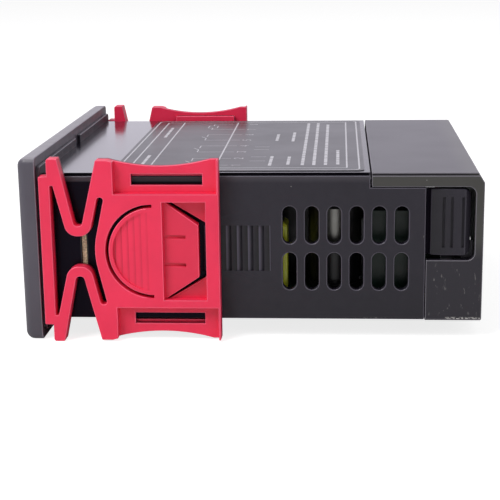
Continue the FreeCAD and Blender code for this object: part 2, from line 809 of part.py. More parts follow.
def make_main_housing():
    body = new_body("main_housing")
    pad(body, "sleeve", "YZ_Plane",
        [long_edge_outline(False), bevelled(CAVITY_WIDTH, CAVITY_HEIGHT, size["cavity_chamfer"])],
        0.0, size["side_reach"])
    pad(body, "collar", "YZ_Plane",
        [centred(size["collar_width"], size["collar_height"], size["collar_corner"]),
         bevelled(CAVITY_WIDTH, CAVITY_HEIGHT, size["cavity_chamfer"])],
        BEZEL_BACK, 0.0)
    half_notch = size["notch_width"] / 2
    pocket(body, "collar_notch", "YZ_Plane",
           [rectangle(-half_notch, half_notch, HALF_HEIGHT, size["collar_height"] / 2 + CUT_PAST)],
           BEZEL_BACK - CUT_PAST, 0.0)
    pocket(body, "rear_step", "XZ_Plane",
           [rectangle(size["lid_reach"], size["side_reach"] + CUT_PAST, size["shoulder_up"],
                      HALF_HEIGHT + CUT_PAST)],
           -HALF_WIDTH - CUT_PAST, HALF_WIDTH + CUT_PAST)

    vent_radius = size["vent_width"] / 2
    nearest = size["vent_row_gap"] / 2 + vent_radius
    farthest = size["vent_row_gap"] / 2 + size["vent_length"] - vent_radius
    first = size["vent_start"]
    slots = pocket(body, "vent_pair", "XZ_Plane",
                   [stadium(first, nearest, farthest, vent_radius),
                    stadium(first, -farthest, -nearest, vent_radius)],
                   -HALF_WIDTH - CUT_PAST, HALF_WIDTH + CUT_PAST)
    row_of(body, "vents", [slots], "X_Axis", size["vent_pitch"], VENT_COLUMNS)

    half_slit = size["slit_height"] / 2
    pocket(body, "board_slits", "XZ_Plane",
           [rectangle(size["slit_start"], size["slit_start"] + size["slit_length"], -half_slit, half_slit)],
           -HALF_WIDTH - CUT_PAST, HALF_WIDTH + CUT_PAST)

    tooth_end = size["ratchet_end"] - size["ratchet_pitch"] / 2
    tooth_start = tooth_end - size["ratchet_pitch"] * TOOTH_SHARE
    bite = HALF_WIDTH - size["ratchet_depth"]
    notches = []
    for side in (-1.0, 1.0):
        notches.append(outline([
            (tooth_start, side * HALF_WIDTH),
            (tooth_start, side * (HALF_WIDTH + CUT_PAST)),
            (tooth_end, side * (HALF_WIDTH + CUT_PAST)),
            (tooth_end, side * bite),
        ]))
    tooth = pocket(body, "ratchet_tooth", "XY_Plane", notches,
                   -size["ratchet_height"] / 2, size["ratchet_height"] / 2)
    row_of(body, "ratchet", [tooth], "X_Axis", -size["ratchet_pitch"], RATCHET_TEETH)

    inner = CAVITY_WIDTH / 2
    shelf = inner - size["board_shelf"]
    over = BOARD_TOP + size["seat_gap"]
    under = BOARD_BOTTOM - size["seat_gap"]
    ribs = []
    for side in (-1.0, 1.0):
        ribs.append(outline([(side * inner, over), (side * shelf, over),
                             (side * shelf, over + size["board_thickness"] / 2),
                             (side * inner, over + size["board_thickness"] / 2)]))
        ribs.append(outline([(side * inner, under), (side * shelf, under),
                             (side * shelf, -CAVITY_HEIGHT / 2),
                             (side * (inner - size["cavity_chamfer"]), -CAVITY_HEIGHT / 2),
                             (side * inner, size["cavity_chamfer"] - CAVITY_HEIGHT / 2)]))
    pad(body, "board_shelves", "YZ_Plane", ribs, size["shelf_start"], size["side_reach"])

    pad_high = STRIP_DOWN - size["latch_gap_above"]
    pad_low = WINDOW_DOWN + size["latch_gap_below"]
    arm = pad(body, "latch_arm_right", "XY_Plane", [latch_outline()], pad_low, pad_high)
    return body, arm, (pad_low + pad_high) / 2, (pad_high - pad_low) / 2


def finish_main_housing(body, arm, pad_middle, half_pad):
    """Rounds the free end of the latch pad, cuts its grip grooves and mirrors it."""
    pad_end = WINDOW_END - size["latch_tip_gap"]
    outer = -HALF_WIDTH + size["cover_gap"]
    low = outer - CUT_PAST
    groove_start = size["side_reach"] + size["latch_gap"] + size["latch_groove_inset"]
    half_groove = half_pad - size["latch_groove_end"]
    grooves = []
    for step in LATCH_GROOVES:
        left = groove_start + step
        grooves.append(rectangle(left, left + size["latch_groove"],
                                 pad_middle - half_groove, pad_middle + half_groove))
    cut = pocket(body, "latch_grooves", "XZ_Plane", grooves, low, outer + size["latch_groove_depth"])
    radius = size["latch_round"]
    corners = []
    for side in (-1.0, 1.0):
        tip = pad_middle + side * half_pad
        corners.append(outline([
            (pad_end - CORNER_SHARE * radius, tip),
            (pad_end, tip, radius),
            (pad_end, tip - side * CORNER_SHARE * radius),
            (pad_end + CUT_PAST, tip - side * CORNER_SHARE * radius),
            (pad_end + CUT_PAST, tip + side * CUT_PAST),
            (pad_end - CORNER_SHARE * radius, tip + side * CUT_PAST),
        ]))
    trimmed = pocket(body, "latch_corners", "XZ_Plane", corners, low, -(CAVITY_WIDTH / 2) + CUT_PAST)
    mirror_of(body, "latch_left", [arm, cut, trimmed], "XZ_Plane")


def make_rear_cover():
    body = new_body("rear_cover")
    rear = size["rear_reach"]
    pad(body, "cover_block", "YZ_Plane", [long_edge_outline(True)], COVER_START, rear)
    pocket(body, "cover_hollow", "YZ_Plane",
           [bevelled(size["sleeve_width"] - 2 * size["cover_wall"],
                     size["sleeve_height"] - 2 * size["plate_wall"],
                     size["cavity_chamfer"])],
           COVER_START - CUT_PAST, rear - size["rear_wall"])
    wide = HALF_WIDTH + CUT_PAST
    pocket(body, "cover_front_cut", "XZ_Plane",
           [rectangle(COVER_START - CUT_PAST, PANEL_START, -HALF_HEIGHT - CUT_PAST, STRIP_DOWN)],
           -wide, wide)
    radius = size["cover_window_round"]
    pocket(body, "cover_side_windows", "XZ_Plane",
           [outline([(PANEL_START - CUT_PAST, WINDOW_DOWN), (WINDOW_END, WINDOW_DOWN, radius),
                     (WINDOW_END, STRIP_DOWN, radius), (PANEL_START - CUT_PAST, STRIP_DOWN)])],
           -wide, wide)
    run = size["cover_edge_run"]
    drop = size["cover_edge_drop"]
    pocket(body, "cover_rear_bevel", "XZ_Plane",
           [outline([(rear - run, HALF_HEIGHT), (rear - run, HALF_HEIGHT + CUT_PAST),
                     (rear + CUT_PAST, HALF_HEIGHT + CUT_PAST), (rear + CUT_PAST, HALF_HEIGHT - drop),
                     (rear, HALF_HEIGHT - drop)])],
           -wide, wide)
    half = size["outlet_width"] / 2
    pocket(body, "cover_wire_outlet", "YZ_Plane",
           [rectangle(-half, half, size["outlet_up"], size["outlet_up"] + size["outlet_height"],
                      size["outlet_round"])],
           rear - size["rear_wall"] - CUT_PAST, rear + CUT_PAST)


def clip_outer_corners():
    """The upper half of the clip's outline: bar, foot, the two legs of the V spring and the plate."""
    return [
        (size["clip_start"], size["bar_up"], size["slit_round"]),
        (size["foot_start"], size["bar_up"]),
        (size["foot_start"], size["land_up"]),
        (size["foot_start"] + size["slit_round"], size["foot_up"]),
        (size["leg_root"], size["foot_up"], size["slit_round"]),
        (size["bend_left"], size["bend_up"], size["bend_round"]),
        (size["bend_right"], size["bend_up"], size["bend_round"]),
        (size["plate_start"], size["land_up"]),
        (size["clip_end"], size["land_up"], size["slit_round"]),
    ]


def clip_inner_corners():
    """The upper half of the open space inside the V springs, between the bar and the plate."""
    bar_right = size["clip_start"] + size["bar_width"]
    return [
        (bar_right, size["slit_up"], size["slit_round"]),
        (bar_right + size["slit_width"], size["slit_up"], size["slit_round"]),
        (size["bow_left"], size["bow_up"], size["bow_round"]),
        (size["bow_right"], size["bow_up"], size["bow_round"]),
        (size["gap_left"], size["gap_up"], size["gap_round"]),
        (size["gap_left"] + size["gap_width"], size["gap_up"], size["gap_round"]),
    ]


def flipped(corners):
    """The same corners below the middle line, in the order that closes the loop."""
    return [(corner[0], -corner[1]) + tuple(corner[2:]) for corner in reversed(corners)]


def make_clip(name):
    body = new_body(name)
    outer = clip_outer_corners()
    inner = clip_inner_corners()
    heel = [(size["heel_start"], 0.0, size["heel_round"])]
    pad(body, name + "_plate", "XZ_Plane",
        [outline(outer + flipped(outer)), outline(inner + heel + flipped(inner))], CLIP_OUT, CLIP_IN)

    span = size["waist_span"] / 2
    sag = size["waist_sag"]
    radius = (span * span + sag * sag) / (2 * sag)
    middle = size["waist_start"] + span
    waist = size["land_up"] - sag + radius
    pocket(body, name + "_waists", "XZ_Plane", [ring(middle, waist, radius), ring(middle, -waist, radius)],
           CLIP_OUT - CUT_PAST, CLIP_IN + CUT_PAST)

    recess_end = size["clip_end"] - size["recess_rim"]
    past_edge = size["land_up"] + CUT_PAST
    slot_start = size["window_slot_start"]
    slot_end = slot_start + size["window_slot_length"]
    slot_down = size["window_slot_down"]
    slot_up = slot_down + size["window_slot_height"]
    pocket(body, name + "_recesses", "XZ_Plane",
           [rectangle(size["recess_start"], recess_end, size["recess_down"], past_edge),
            rectangle(size["recess_start"], recess_end, -past_edge, -size["recess_down"])],
           CLIP_OUT - CUT_PAST, CLIP_OUT + size["recess_depth"])
    pocket(body, name + "_slots", "XZ_Plane",
           [rectangle(slot_start, slot_end, slot_down, slot_up),
            rectangle(slot_start, slot_end, -slot_up, -slot_down)],
           CLIP_OUT - CUT_PAST, CLIP_IN + CUT_PAST)

    hook_out = -(RAIL_OUT - size["hook_side_gap"])
    hook_in = -(RAIL_IN + size["hook_side_gap"])
    hook_down = RIM_UP + size["hook_gap"]
    hook_tip = RAIL_FLOOR + size["hook_gap"]
    root = CLIP_IN - (size["clip_thickness"] - size["recess_depth"]) / 2
    hooks = []
    for side in (-1.0, 1.0):
        hooks.append(outline([
            (root, side * slot_up),
            (root, side * (hook_down + size["hook_height"])),
            (hook_in, side * (hook_down + size["hook_height"])),
            (hook_in, side * hook_tip),
            (hook_out, side * hook_tip),
            (hook_out, side * hook_down),
            (CLIP_IN, side * hook_down),
            (CLIP_IN, side * slot_up),
        ]))
    pad(body, name + "_hooks", "YZ_Plane", hooks, slot_start - size["hook_lap"], slot_end + size["hook_lap"])

    thumb_x = size["thumb_centre"]
    slit_in = size["thumb_radius"]
    pocket(body, name + "_thumb_slit", "XZ_Plane",
           [half_ring(thumb_x, slit_in, slit_in + size["thumb_slit"])],
           CLIP_OUT - CUT_PAST, CLIP_IN + CUT_PAST)
    pad_radius = slit_in - size["thumb_rim"]
    for i in range(THUMB_STEPS):
        back = size["thumb_step_start"] + size["thumb_step_pitch"] * i
        pocket(body, "%s_thumb_step_%d" % (name, i + 1), "XZ_Plane",
               [round_segment(thumb_x, back, pad_radius)],
               CLIP_OUT - CUT_PAST, CLIP_OUT + size["thumb_step_depth"] * (i + 1))
    cut_tongue(body, name)
    return body


def cut_tongue(body, name):
    """The slit round the spring tongue, its sloping face, and the pawl teeth on its inner side."""
    root_x = size["thumb_centre"] + size["hinge_strip"]
    tip = size["tongue_tip"]
    tip_up = size["tongue_tip_up"]
    outer_tip = tip + size["tongue_gap"]
    outer_up = tip_up + size["tongue_slit_lean"]
    window = size["tongue_window"]
    slit_in = root_x + size["tongue_root"]
    slit_out = slit_in + size["tongue_slit"]
    upper = [(tip, tip_up), (slit_in, window), (slit_out, window), (outer_tip, outer_up)]
    pocket(body, name + "_tongue_slit", "XZ_Plane", [outline(upper + flipped(upper))],
           CLIP_OUT - CUT_PAST, CLIP_IN + CUT_PAST)
    wedge = outline([
        (root_x, CLIP_OUT - CUT_PAST),
        (outer_tip, CLIP_OUT - CUT_PAST),
        (outer_tip, CLIP_OUT + size["tongue_rise"]),
        (root_x, CLIP_OUT + size["tongue_recess"]),
    ])
    pocket(body, name + "_tongue_slope", "XY_Plane", [wedge], -window, window)
    corners = []
    for side in (-1.0, 1.0):
        corners.append(outline([(slit_out, side * window), (outer_tip, side * window),
                                (outer_tip, side * outer_up)]))
    pocket(body, name + "_tongue_corners", "XZ_Plane", corners,
           CLIP_OUT - CUT_PAST, CLIP_OUT + size["recess_depth"])
    lines = []
    for side in (-1.0, 1.0):
        low = side * size["tongue_line_up"]
        high = low + side * size["tongue_line_width"]
        lines.append(outline([(root_x, low), (root_x + size["tongue_line_length"], low),
                              (root_x + size["tongue_line_length"], high), (root_x, high)]))
    pocket(body, name + "_tongue_lines", "XZ_Plane", lines, CLIP_OUT - CUT_PAST,
           CLIP_OUT + size["tongue_recess"] + size["tongue_line_depth"])
    relief = CLIP_IN - size["tongue_relief"]
    pitch = size["ratchet_pitch"]
    pocket(body, name + "_tongue_relief", "XZ_Plane", [rectangle(root_x, outer_tip, -tip_up, tip_up)],
           relief, CLIP_IN + CUT_PAST)
    overlap = (size["clip_thickness"] - size["tongue_recess"] - size["tongue_relief"]) / 2
    first = tip - pitch
    tooth = outline([(first, relief - overlap), (tip, relief - overlap), (tip, CLIP_IN), (first, relief)])
    half_pawl = size["pawl_height"] / 2
    pawl = pad(body, name + "_pawl_tooth", "XY_Plane", [tooth], -half_pawl, half_pawl)
    row_of(body, name + "_pawl", [pawl], "X_Axis", -pitch, PAWL_TEETH)


def make_main_board():
    body = new_body("main_board")
    half = CAVITY_WIDTH / 2 - size["board_margin"]
    pad(body, "main_board_sheet", "XY_Plane",
        [rectangle(size["main_board_start"], size["main_board_end"], -half, half)], BOARD_BOTTOM, BOARD_TOP)


def make_transformer():
    start = size["core_start"]
    end = start + size["core_length"]
    middle = size["core_across"]
    limb = size["core_limb"]
    half = size["core_width"] / 2
    low = size["core_up"] - size["core_stack"] / 2
    high = size["core_up"] + size["core_stack"] / 2
    core = new_body("transformer_core")
    windows = []
    for side in (-1.0, 1.0):
        near = middle + side * limb
        far = middle + side * (half - limb)
        windows.append(outline([(start + limb, near), (end - limb, near),
                                (end - limb, far), (start + limb, far)]))
    plate = rectangle(start, end, middle - half, middle + half)
    pad(core, "core_stack_of_plates", "XY_Plane", [plate] + windows, low, high)

    bobbin = new_body("transformer_bobbin")
    gap = size["bobbin_gap"]
    wall = size["bobbin_wall"]
    hole_y = limb + gap
    hole_z = size["core_stack"] / 2 + gap
    tube_y = hole_y + wall
    tube_z = hole_z + wall
    up = size["core_up"]
    flange_y = half - limb - gap
    flange_z = hole_z + size["bobbin_overhang"]
    first = start + limb + gap
    last = end - limb - gap
    flange = size["bobbin_flange"]
    hole = rectangle(middle - hole_y, middle + hole_y, up - hole_z, up + hole_z)
    flange_face = rectangle(middle - flange_y, middle + flange_y, up - flange_z, up + flange_z)
    pad(bobbin, "bobbin_tube", "YZ_Plane",
        [rectangle(middle - tube_y, middle + tube_y, up - tube_z, up + tube_z), hole], first, last)
    pad(bobbin, "bobbin_front_flange", "YZ_Plane", [flange_face, hole], first, first + flange)
    pad(bobbin, "bobbin_rear_flange", "YZ_Plane", [flange_face, hole], last - flange, last)
    pad(bobbin, "bobbin_feet", "XY_Plane",
        [rectangle(first, first + flange, middle - flange_y, middle + flange_y),
         rectangle(last - flange, last, middle - flange_y, middle + flange_y)],
        BOARD_TOP, up - hole_z)

    winding = new_body("transformer_winding")
    coil_y = flange_y - gap
    coil_z = flange_z - size["winding_inset"]
    pad(winding, "winding_coil", "YZ_Plane",
        [rectangle(middle - coil_y, middle + coil_y, up - coil_z, up + coil_z, size["winding_round"]),
         rectangle(middle - tube_y, middle + tube_y, up - tube_z, up + tube_z)],
        first + flange, last - flange)


def make_relays():
    start = size["relay_start"]
    end = start + size["relay_length"]
    top = BOARD_TOP + size["relay_height"]
    near = size["relay_across"]
    far = near + size["relay_spacing"]
    for name, left in (("relay_heat", near), ("relay_cool", far)):
        body = new_body(name)
        case = pad(body, name + "_case", "XY_Plane",
                   [rectangle(start, end, left, left + size["relay_width"])], BOARD_TOP, top)

        def on_top(box):
            return at(box.ZMin, top) and at(box.ZMax, top)

        soften(body, name + "_edges", "PartDesign::Chamfer", case, on_top, size["relay_chamfer"])


def make_capacitors():
    """Two upright electrolytic cans with the crimp near the foot, and one boxed film capacitor."""
    neck = size["capacitor_neck"]
    for name in ("supply_capacitor", "output_capacitor"):
        body = new_body(name)
        x = size[name + "_x"]
        y = size[name + "_y"]
        radius = size[name + "_radius"]
        height = size[name + "_height"]
        pad(body, name + "_can", "XY_Plane", [ring(x, y, radius)], BOARD_TOP, BOARD_TOP + height)
        pocket(body, name + "_crimp", "XY_Plane", [ring(x, y, radius + neck), ring(x, y, radius - neck)],
               BOARD_TOP + 3 * neck, BOARD_TOP + 5 * neck)
        pocket(body, name + "_top", "XY_Plane", [ring(x, y, radius - 2 * neck)],
               BOARD_TOP + height - neck / 2, BOARD_TOP + height + CUT_PAST)
    body = new_body("film_capacitor")
    start = size["film_capacitor_start"]
    left = size["film_capacitor_across"]
    top = BOARD_TOP + size["film_capacitor_height"]
    case = pad(body, "film_capacitor_case", "XY_Plane",
               [rectangle(start, start + size["film_capacitor_length"],
                          left, left + size["film_capacitor_width"])],
               BOARD_TOP, top)

    def on_top(box):
        return at(box.ZMin, top) and at(box.ZMax, top)

    soften(body, "film_capacitor_edges", "PartDesign::Chamfer", case, on_top, size["relay_chamfer"])


def make_varistor():
    body = new_body("varistor")
    half = size["varistor_thickness"] / 2
    disc = pad(body, "varistor_disc", "XZ_Plane",
               [ring(size["varistor_x"], BOARD_TOP + size["varistor_radius"], size["varistor_radius"])],
               size["varistor_y"] - half, size["varistor_y"] + half)

    def on_faces(box):
        return at(box.YMax - box.YMin, 0.0)

    soften(body, "varistor_edges", "PartDesign::Chamfer", disc, on_faces, half / 2)


def make_buzzer():
    body = new_body("buzzer")
    x = size["buzzer_x"]
    y = size["buzzer_y"]
    top = BOARD_TOP + size["buzzer_height"]
    can = pad(body, "buzzer_can", "XY_Plane", [ring(x, y, size["buzzer_radius"])], BOARD_TOP, top)

    def on_top(box):
        return at(box.ZMin, top) and at(box.ZMax, top)

    soften(body, "buzzer_edge", "PartDesign::Chamfer", can, on_top, size["relay_chamfer"])
    pocket(body, "buzzer_sound_port", "XY_Plane", [ring(x, y, size["buzzer_port"])],
           top - 2 * size["buzzer_port"], top + CUT_PAST)


def terminal_places():
    """The middles of the terminal strip's chambers, across the controller."""
    last = (TERMINAL_COUNT - 1) / 2
    return [size["terminal_pitch"] * (i - last) for i in range(TERMINAL_COUNT)]


def make_terminal_block():
    body = new_body("terminal_block")
    start = size["terminal_start"]
    half = size["terminal_pitch"] * TERMINAL_COUNT / 2
    top = BOARD_TOP + size["terminal_height"]
    step_up = BOARD_TOP + size["terminal_step_height"]
    step_x = TERMINAL_FACE - size["terminal_step"]
    pad(body, "terminal_case", "XZ_Plane",
        [outline([(start, BOARD_TOP), (TERMINAL_FACE, BOARD_TOP), (TERMINAL_FACE, step_up),
                  (step_x, step_up), (step_x, top), (start, top)])],
        -half, half)
    entry_up = BOARD_TOP + size["entry_up"]
    half_entry = size["entry_width"] / 2
    well_x = TERMINAL_FACE - size["well_setback"]
    first = terminal_places()[0]
    entry = pocket(body, "terminal_entry", "YZ_Plane",
                   [rectangle(first - half_entry, first + half_entry,
                              entry_up, entry_up + size["entry_height"])],
                   TERMINAL_FACE - size["entry_depth"], TERMINAL_FACE + CUT_PAST)
    well = pocket(body, "terminal_well", "XY_Plane", [ring(well_x, first, size["well_radius"])],
                  top - size["well_depth"], top + CUT_PAST)
    row_of(body, "terminal_chambers", [entry, well], "Y_Axis", size["terminal_pitch"], TERMINAL_COUNT)


def sized_feature(name, shape):
    """A group of separate solids, cut from the sheet's sizes."""
    feature = document.addObject("Part::Feature", name)
    feature.Label = name
    feature.Shape = shape
    feature.Placement = Placement(Vector(0, 0, 0), Rotation())
    parts.append(feature)


def make_terminal_metal():
    """The wire cages in the entries, and the slotted clamping screws in the wells above them."""
    entry_up = (BOARD_TOP + size["entry_up"]).number
    width = size["entry_width"].number
    height = size["entry_height"].number
    wall = size["cage_wall"].number
    inset = size["cage_inset"].number
    depth = size["entry_depth"].number - inset
    back = (TERMINAL_FACE - size["entry_depth"]).number
    floor = (BOARD_TOP + size["terminal_height"] - size["well_depth"]).number
    well_x = (TERMINAL_FACE - size["well_setback"]).number
    head_radius = (size["well_radius"] - size["screw_gap"]).number
    head = size["screw_head"].number
    slot = size["screw_slot"].number
    cages = []
    screws = []
    for place in terminal_places():
        y = place.number
        cage = Part.makeBox(depth, width, height, Vector(back, y - width / 2, entry_up))
        bore = Part.makeBox(depth, width - 2 * wall, height - 2 * wall,
                            Vector(back + wall, y - width / 2 + wall, entry_up + wall))
        cages.append(cage.cut(bore))
        screw = Part.makeCylinder(head_radius, head, Vector(well_x, y, floor))
        drive = Part.makeBox(2 * head_radius, slot, head / 2,
                             Vector(well_x - head_radius, y - slot / 2, floor + head / 2))
        screws.append(screw.cut(drive))
    sized_feature("terminal_cages", Part.makeCompound(cages))
    sized_feature("terminal_screws", Part.makeCompound(screws))


def make_wiring_label():
    body = new_body("wiring_label")
    half = size["label_width"] / 2
    pad(body, "label_film", "XY_Plane",
        [rectangle(size["label_start"], size["label_end"], -half, half, size["label_corner"])],
        HALF_HEIGHT, HALF_HEIGHT + size["label_thickness"])


def turn_to_left(body):
    """The left clip is the same moulding, turned half round about the long axis."""
    body.Placement = Placement(Vector(0, 0, 0), Rotation(Vector(1, 0, 0), 180))


make_front_bezel()
make_display_window()
make_keys()
make_displays()
make_front_board()
make_board_header()
finish_main_housing(*make_main_housing())
make_wiring_label()
make_rear_cover()
make_clip("mounting_clip_right")
turn_to_left(make_clip("mounting_clip_left"))
make_main_board()
make_transformer()
make_relays()
make_capacitors()
make_varistor()
make_buzzer()
make_terminal_block()
make_terminal_metal()

document.recompute()

for thing in document.Objects:
    if "Invalid" in thing.State or "Error" in thing.State:
        raise RuntimeError("%s did not build: %s" % (thing.Name, thing.State))
for part in parts:
    if part.Shape.isNull() or not part.Shape.isValid():
        raise RuntimeError("%s has no valid shape" % part.Label)

os.makedirs("parts", exist_ok=True)
for part in parts:
    part.Shape.exportStep("parts/%s.step" % part.Label)
    print("%-22s %2d solid(s) %9.1f mm3" % (part.Label, len(part.Shape.Solids), part.Shape.Volume))
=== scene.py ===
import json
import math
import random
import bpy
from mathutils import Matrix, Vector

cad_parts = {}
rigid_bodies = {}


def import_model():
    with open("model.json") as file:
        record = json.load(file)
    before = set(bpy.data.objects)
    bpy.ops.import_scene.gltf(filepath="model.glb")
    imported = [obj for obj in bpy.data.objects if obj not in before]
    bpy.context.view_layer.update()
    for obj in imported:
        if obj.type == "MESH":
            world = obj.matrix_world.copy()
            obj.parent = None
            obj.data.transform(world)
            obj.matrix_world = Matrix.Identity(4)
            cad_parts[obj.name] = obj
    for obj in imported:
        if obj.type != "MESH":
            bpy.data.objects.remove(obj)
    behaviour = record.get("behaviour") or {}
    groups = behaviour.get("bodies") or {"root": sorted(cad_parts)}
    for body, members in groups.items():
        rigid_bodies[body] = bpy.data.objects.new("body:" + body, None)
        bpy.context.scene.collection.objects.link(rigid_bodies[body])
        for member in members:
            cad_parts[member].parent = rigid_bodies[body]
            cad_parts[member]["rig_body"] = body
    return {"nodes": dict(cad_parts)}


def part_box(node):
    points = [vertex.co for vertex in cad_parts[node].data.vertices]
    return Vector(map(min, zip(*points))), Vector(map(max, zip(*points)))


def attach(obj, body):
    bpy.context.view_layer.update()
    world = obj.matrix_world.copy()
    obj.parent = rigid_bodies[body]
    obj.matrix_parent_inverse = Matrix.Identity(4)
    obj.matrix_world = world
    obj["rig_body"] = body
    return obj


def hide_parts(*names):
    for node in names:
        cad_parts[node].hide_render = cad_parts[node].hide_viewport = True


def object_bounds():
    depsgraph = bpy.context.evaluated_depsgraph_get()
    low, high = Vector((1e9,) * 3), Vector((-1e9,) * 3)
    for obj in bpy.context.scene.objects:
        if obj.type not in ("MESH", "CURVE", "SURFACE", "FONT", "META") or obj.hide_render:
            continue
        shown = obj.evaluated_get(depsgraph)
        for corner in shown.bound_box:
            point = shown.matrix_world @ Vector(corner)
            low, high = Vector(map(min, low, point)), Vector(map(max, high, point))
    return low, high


bl_info = {
    "name": "Panel Temperature Controller",
    "version": (1, 0, 0),
    "blender": (4, 5, 0),
    "location": "View3D > Sidebar > Controller",
    "description": "Dresses a panel-mounted temperature controller in its plastics, metals and printing",
    "category": "Object",
}

import bmesh
import bpy
from mathutils import Matrix, Vector

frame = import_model()
CAD_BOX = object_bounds()

MM = 0.001

# The camera looks at the right-hand side, a little from the rear and from above.
CAMERA_PLACE = (54.67 * MM, -266.16 * MM, 56.15 * MM)
CAMERA_YAW = math.radians(-4.053)
CAMERA_DOWN = math.radians(13.71)
CAMERA_ROLL = math.radians(-0.806)
CAMERA_LENS = 93.04


def linear(hex_colour):
    """An sRGB hex colour as linear red, green, blue and alpha."""
    channels = [int(hex_colour[i : i + 2], 16) / 255.0 for i in (1, 3, 5)]
    return tuple(c / 12.92 if c <= 0.04045 else ((c + 0.055) / 1.055) ** 2.4 for c in channels) + (1.0,)


def corners(*points):
    """Places given in millimetres, in metres."""
    return tuple(tuple(value * MM for value in point) for point in points)


WHITE = linear("#ffffff")
DUST = linear("#b4b1ae")
# Painted shade is laid in this colour.
SHADE = linear("#08070a")

# Points nearer than this are one, and faces that turn less than this are one flat face.
MERGE = 0.0005 * MM
FLAT_WITHIN = math.radians(0.6)
# An edge that turns more than this is an edge to the eye as well.
SHARP_OVER = math.radians(32.0)
# Printing stands this far off its ground, and each line a hair off the one before.
PROUD = 0.012 * MM
INK_STEP = 0.0002 * MM

KEYS = ("set", "up", "power", "down")
SIDES = (("right", -1), ("left", 1))

# Places on the housing where its finish changes and painted shade is laid, as X, distance from the middle,
# and Z.
RAIL = corners((-0.7, 33.7, 12.3), (60.4, 34.65, 13.86))
COLLAR = corners((-0.72, 33.0, -16.0), (0.3, 37.0, 13.4))
UNDER_CLIP = corners((-0.72, 33.0, -14.6), (32.6, 35.3, 12.4))
LATCH_PAD = corners((70.5, 33.9, -2.0), (79.0, 35.4, 12.0))
LATCH_GAP = corners((70.3, 30.0, -14.0), (71.4, 34.2, 12.0))
GROOVES = corners((73.2, 0.1), (77.5, 9.65))
WALL_END = corners((70.1, 0.0, -13.9), (70.4, 36.0, 10.5))
WALL_FOOT = corners((59.0, 33.0, -14.1), (63.0, 36.0, -13.5))
LID_RIM = (33.7 * MM, 13.8 * MM)
RACK = corners((20.0, 34.2, -4.27), (42.05, 35.3, 4.27))
RACK_END = 41.95 * MM
RACK_PITCH = 2.02 * MM

# Worn places on the near side of the cover, and its top and rear, which get a painted highlight.
COVER_SCRATCHES = corners((72.0, -38.3, -12.5), (79.5, -30.0, -4.0))
COVER_CHIPS = corners((74.5, -38.3, -14.0), (80.5, -30.0, -13.2))
COVER_TOP = corners((60.5, -38.3, 11.6), (81.0, 50.0, 13.3))
COVER_REAR = corners((79.5, -38.3, 1.5), (81.0, 50.0, 13.3))

# The stepped thumb pad of the clips, the slit round it and the tongue behind it.
THUMB_CENTRE = (20.7 * MM, 0.0, 0.0)
THUMB_RADIUS = 7.45 * MM
THUMB_FIRST = 0.87 * MM
THUMB_PITCH = 1.21 * MM
THUMB_SLIT = (8.1 * MM, 8.95 * MM)
TONGUE = corners((22.7, 34.0, -8.7), (30.1, 39.0, 8.7))


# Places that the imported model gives

def low(node):
    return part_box(node)[0]


def high(node):
    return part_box(node)[1]


# Node trees. Sockets 1 to 4 of a Map Range node are its From Min, From Max, To Min and To Max.

def add(tree, kind, settings=None, output=0):
    """Adds a node, sets its properties, sets or links its sockets, and gives one of its outputs."""
    node = tree.nodes.new(kind)
    for name, value in (settings or {}).items():
        if isinstance(name, str) and name not in node.inputs:
            setattr(node, name, value)
        elif isinstance(value, bpy.types.NodeSocket):
            tree.links.new(value, node.inputs[name])
        else:
            node.inputs[name].default_value = value
    return node.outputs[output] if node.outputs else None


def new_material(name, settings):
    """A material with a Principled shader, its tree, and the shader node."""
    material = bpy.data.materials.new(name)
    material.use_nodes = True
    tree = material.node_tree
    tree.nodes.clear()
    surface = add(tree, "ShaderNodeBsdfPrincipled", settings)
    add(tree, "ShaderNodeOutputMaterial", {"Surface": surface})
    return material, tree, surface.node


def parts_of(material):
    """A finished material's tree and its shader node, to lay more over it."""
    tree = material.node_tree
    return tree, next(node for node in tree.nodes if node.bl_idname == "ShaderNodeBsdfPrincipled")


def place_in(tree, stretch=None):
    """The place in the piece, pressed together along the axes that a pattern is drawn out on."""
    place = add(tree, "ShaderNodeTexCoord", output="Object")
    if stretch is None:
        return place
    return add(tree, "ShaderNodeVectorMath", {"operation": "MULTIPLY", 0: place, 1: stretch})


def both_sides(tree):
    """The place in the piece with both sides folded onto one, and its X, distance outward, and Z."""
    x, y, z = add(tree, "ShaderNodeSeparateXYZ", {0: place_in(tree)}).node.outputs
    outward = add(tree, "ShaderNodeMath", {"operation": "ABSOLUTE", 0: y})
    return add(tree, "ShaderNodeCombineXYZ", {0: x, 1: outward, 2: z}), (x, outward, z)


def facing(tree):
    """How far the surface faces along X, Y and Z, each from -1 to 1."""
    normal = add(tree, "ShaderNodeTexCoord", output="Normal")
    return add(tree, "ShaderNodeSeparateXYZ", {0: normal}).node.outputs


def blotches(tree, size, detail, stretch=None):
    """A pattern of soft blotches of about the given size, in metres."""
    where = place_in(tree, stretch)
    settings = {"Scale": 1.0 / size, "Detail": detail, "Roughness": 0.55, "Vector": where}
    return add(tree, "ShaderNodeTexNoise", settings)


def uneven(tree, size, detail, lowest, highest, between=(0.3, 0.7), stretch=None):
    """A value that wanders from the lowest to the highest, in blotches of about the given size."""
    pattern = blotches(tree, size, detail, stretch)
    levels = {0: pattern, 1: between[0], 2: between[1], 3: lowest, 4: highest}
    return add(tree, "ShaderNodeMapRange", levels)


def uneven_gloss(tree, shader, size, detail, lowest, highest, between=(0.3, 0.7)):
    """Lets the roughness wander, as wear and handling leave it."""
    tree.links.new(uneven(tree, size, detail, lowest, highest, between), shader.inputs["Roughness"])


def bands(pitch):
    """The Scale of a wave pattern whose bands lie this far apart, in metres."""
    return math.pi / (10.0 * pitch)


def shade(colour, factor):
    return tuple(min(1.0, c * factor) for c in colour[:3]) + (1.0,)


